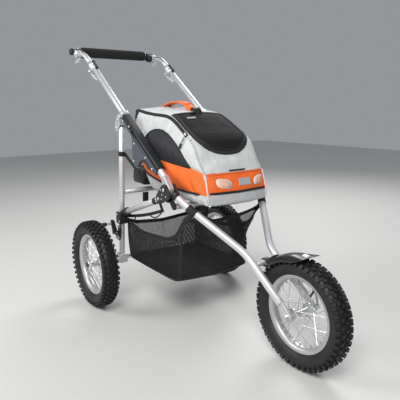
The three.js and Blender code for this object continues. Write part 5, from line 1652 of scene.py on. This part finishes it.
# Basket straps: webbing sleeves round the lower tubes and the rear posts, with tails down to the corners, and
# a webbing line along the underside of each side tube.
tube_start, tube_end = place(396, -150, 415), place(550, -49, 288)
tube_way = (tube_end - tube_start).normalized()
sleeve_at = [tube_start + tube_way * t / 1000 for t in (6, 14, 22, 30, 38)]
fit_pair(drawn_tube("front_sleeve_right", sleeve_at, 0.0128, 30), black_binding, "front_frame")
tail_end = Vector(framed(edge[int(round(edge_run[8] / edge_run[-1] * edge_steps)), 3:]))
tail_top = sleeve_at[2] + Vector((-0.002, 0.002, -0.011))
fit_pair(ribbon("front_tail_right", [(tail_end + (tail_top - tail_end) * t,
    Vector((0.6, -1, 0.2)).normalized()) for t in np.linspace(-0.15, 1, 10)], 17, 2.0), black_binding,
    "front_frame")
fit_pair(drawn_tube("rear_sleeve_right", [post_at(z) for z in (292, 297, 303, 309)], 0.0122, 28),
    black_binding, "rear_frame")
fit_pair(ribbon("rear_tail_right", [(post_at(300) + Vector((0.001, 0.012 + 0.016 * t, -0.003 * t)),
    Vector((-1, 0, 0))) for t in np.linspace(0, 1, 6)], 14, 2.0), black_binding, "rear_frame")
line_spine = [(place(14 + 256 * t, -156 + 3 * t, 316 + 65 * t - 6 * math.sin(math.pi * t)),
    Vector((0, -1, 0.15))) for t in np.linspace(0, 1, 22)]
fit_pair(ribbon("side_line_right", line_spine, 11, 2.0), black_binding, "rear_frame")
for loop_name, loop_from, loop_to, loop_drop in (("rear", 20, 78, 22), ("front", 178, 256, 12)):
    fit_pair(drawn_tube(f"elastic_{loop_name}_right", [place(loop_from + (loop_to - loop_from) * t, -154,
        316 + 84 * (loop_from + (loop_to - loop_from) * t - 14) / 330 - 8 - loop_drop * math.sin(math.pi * t))
        for t in np.linspace(0, 1, 14)], 0.0022, 10), black_binding, "rear_frame")
fit_pair(drawn_tube("line_sleeve_right", [side_start + (side_end - side_start) * t
    for t in (0.84, 0.87, 0.9, 0.93)], 0.0112, 28), black_binding, "rear_frame")
fit_pair(ribbon("line_hanger_right", [(place(262 + 6 * t, -163 + 9 * t, 413 - 37 * t), Vector((0.1, -1, 0)))
    for t in np.linspace(0, 1, 8)], 13, 2.0), black_binding, "rear_frame")

# ---------------------------------------------------------------- floor and light
# A plain pale floor, and soft light from two broad panels, one high ahead of the stroller and one behind it.
floor_edge = 6.0
floor_mesh = bpy.data.meshes.new("floor")
floor_mesh.from_pydata([(-floor_edge, -floor_edge, 0), (floor_edge, -floor_edge, 0),
    (floor_edge, floor_edge, 0), (-floor_edge, floor_edge, 0)], [], [(0, 1, 2, 3)])
floor = linked("floor", floor_mesh)
floor_paint, _, _ = blank_finish("floor_paint", Base_Color=(0.62, 0.61, 0.59, 1), Roughness=0.6)
floor_mesh.materials.append(floor_paint)
sky = bpy.data.worlds.new("studio")
sky.use_nodes = True
sky.node_tree.nodes["Background"].inputs["Color"].default_value = (0.86, 0.9, 0.95, 1)
sky.node_tree.nodes["Background"].inputs["Strength"].default_value = 0.34
bpy.context.scene.world = sky
for lamp_name, lamp_at, lamp_size, lamp_power in (("front_panel", (1.6, -1.7, 2.3), 1.3, 74),
        ("side_panel", (-1.2, -2.4, 1.9), 1.2, 38), ("rear_panel", (-1.3, 1.9, 2.2), 1.4, 44)):
    lamp = bpy.data.lights.new(lamp_name, "AREA")
    lamp.size = lamp_size
    lamp.energy = lamp_power
    panel = linked(lamp_name, lamp)
    panel.location = lamp_at
    panel.rotation_euler = (Vector((0, 0, 0.4)) - Vector(lamp_at)).to_track_quat("-Z", "Y").to_euler()
bpy.context.scene.view_settings.view_transform = "Standard"
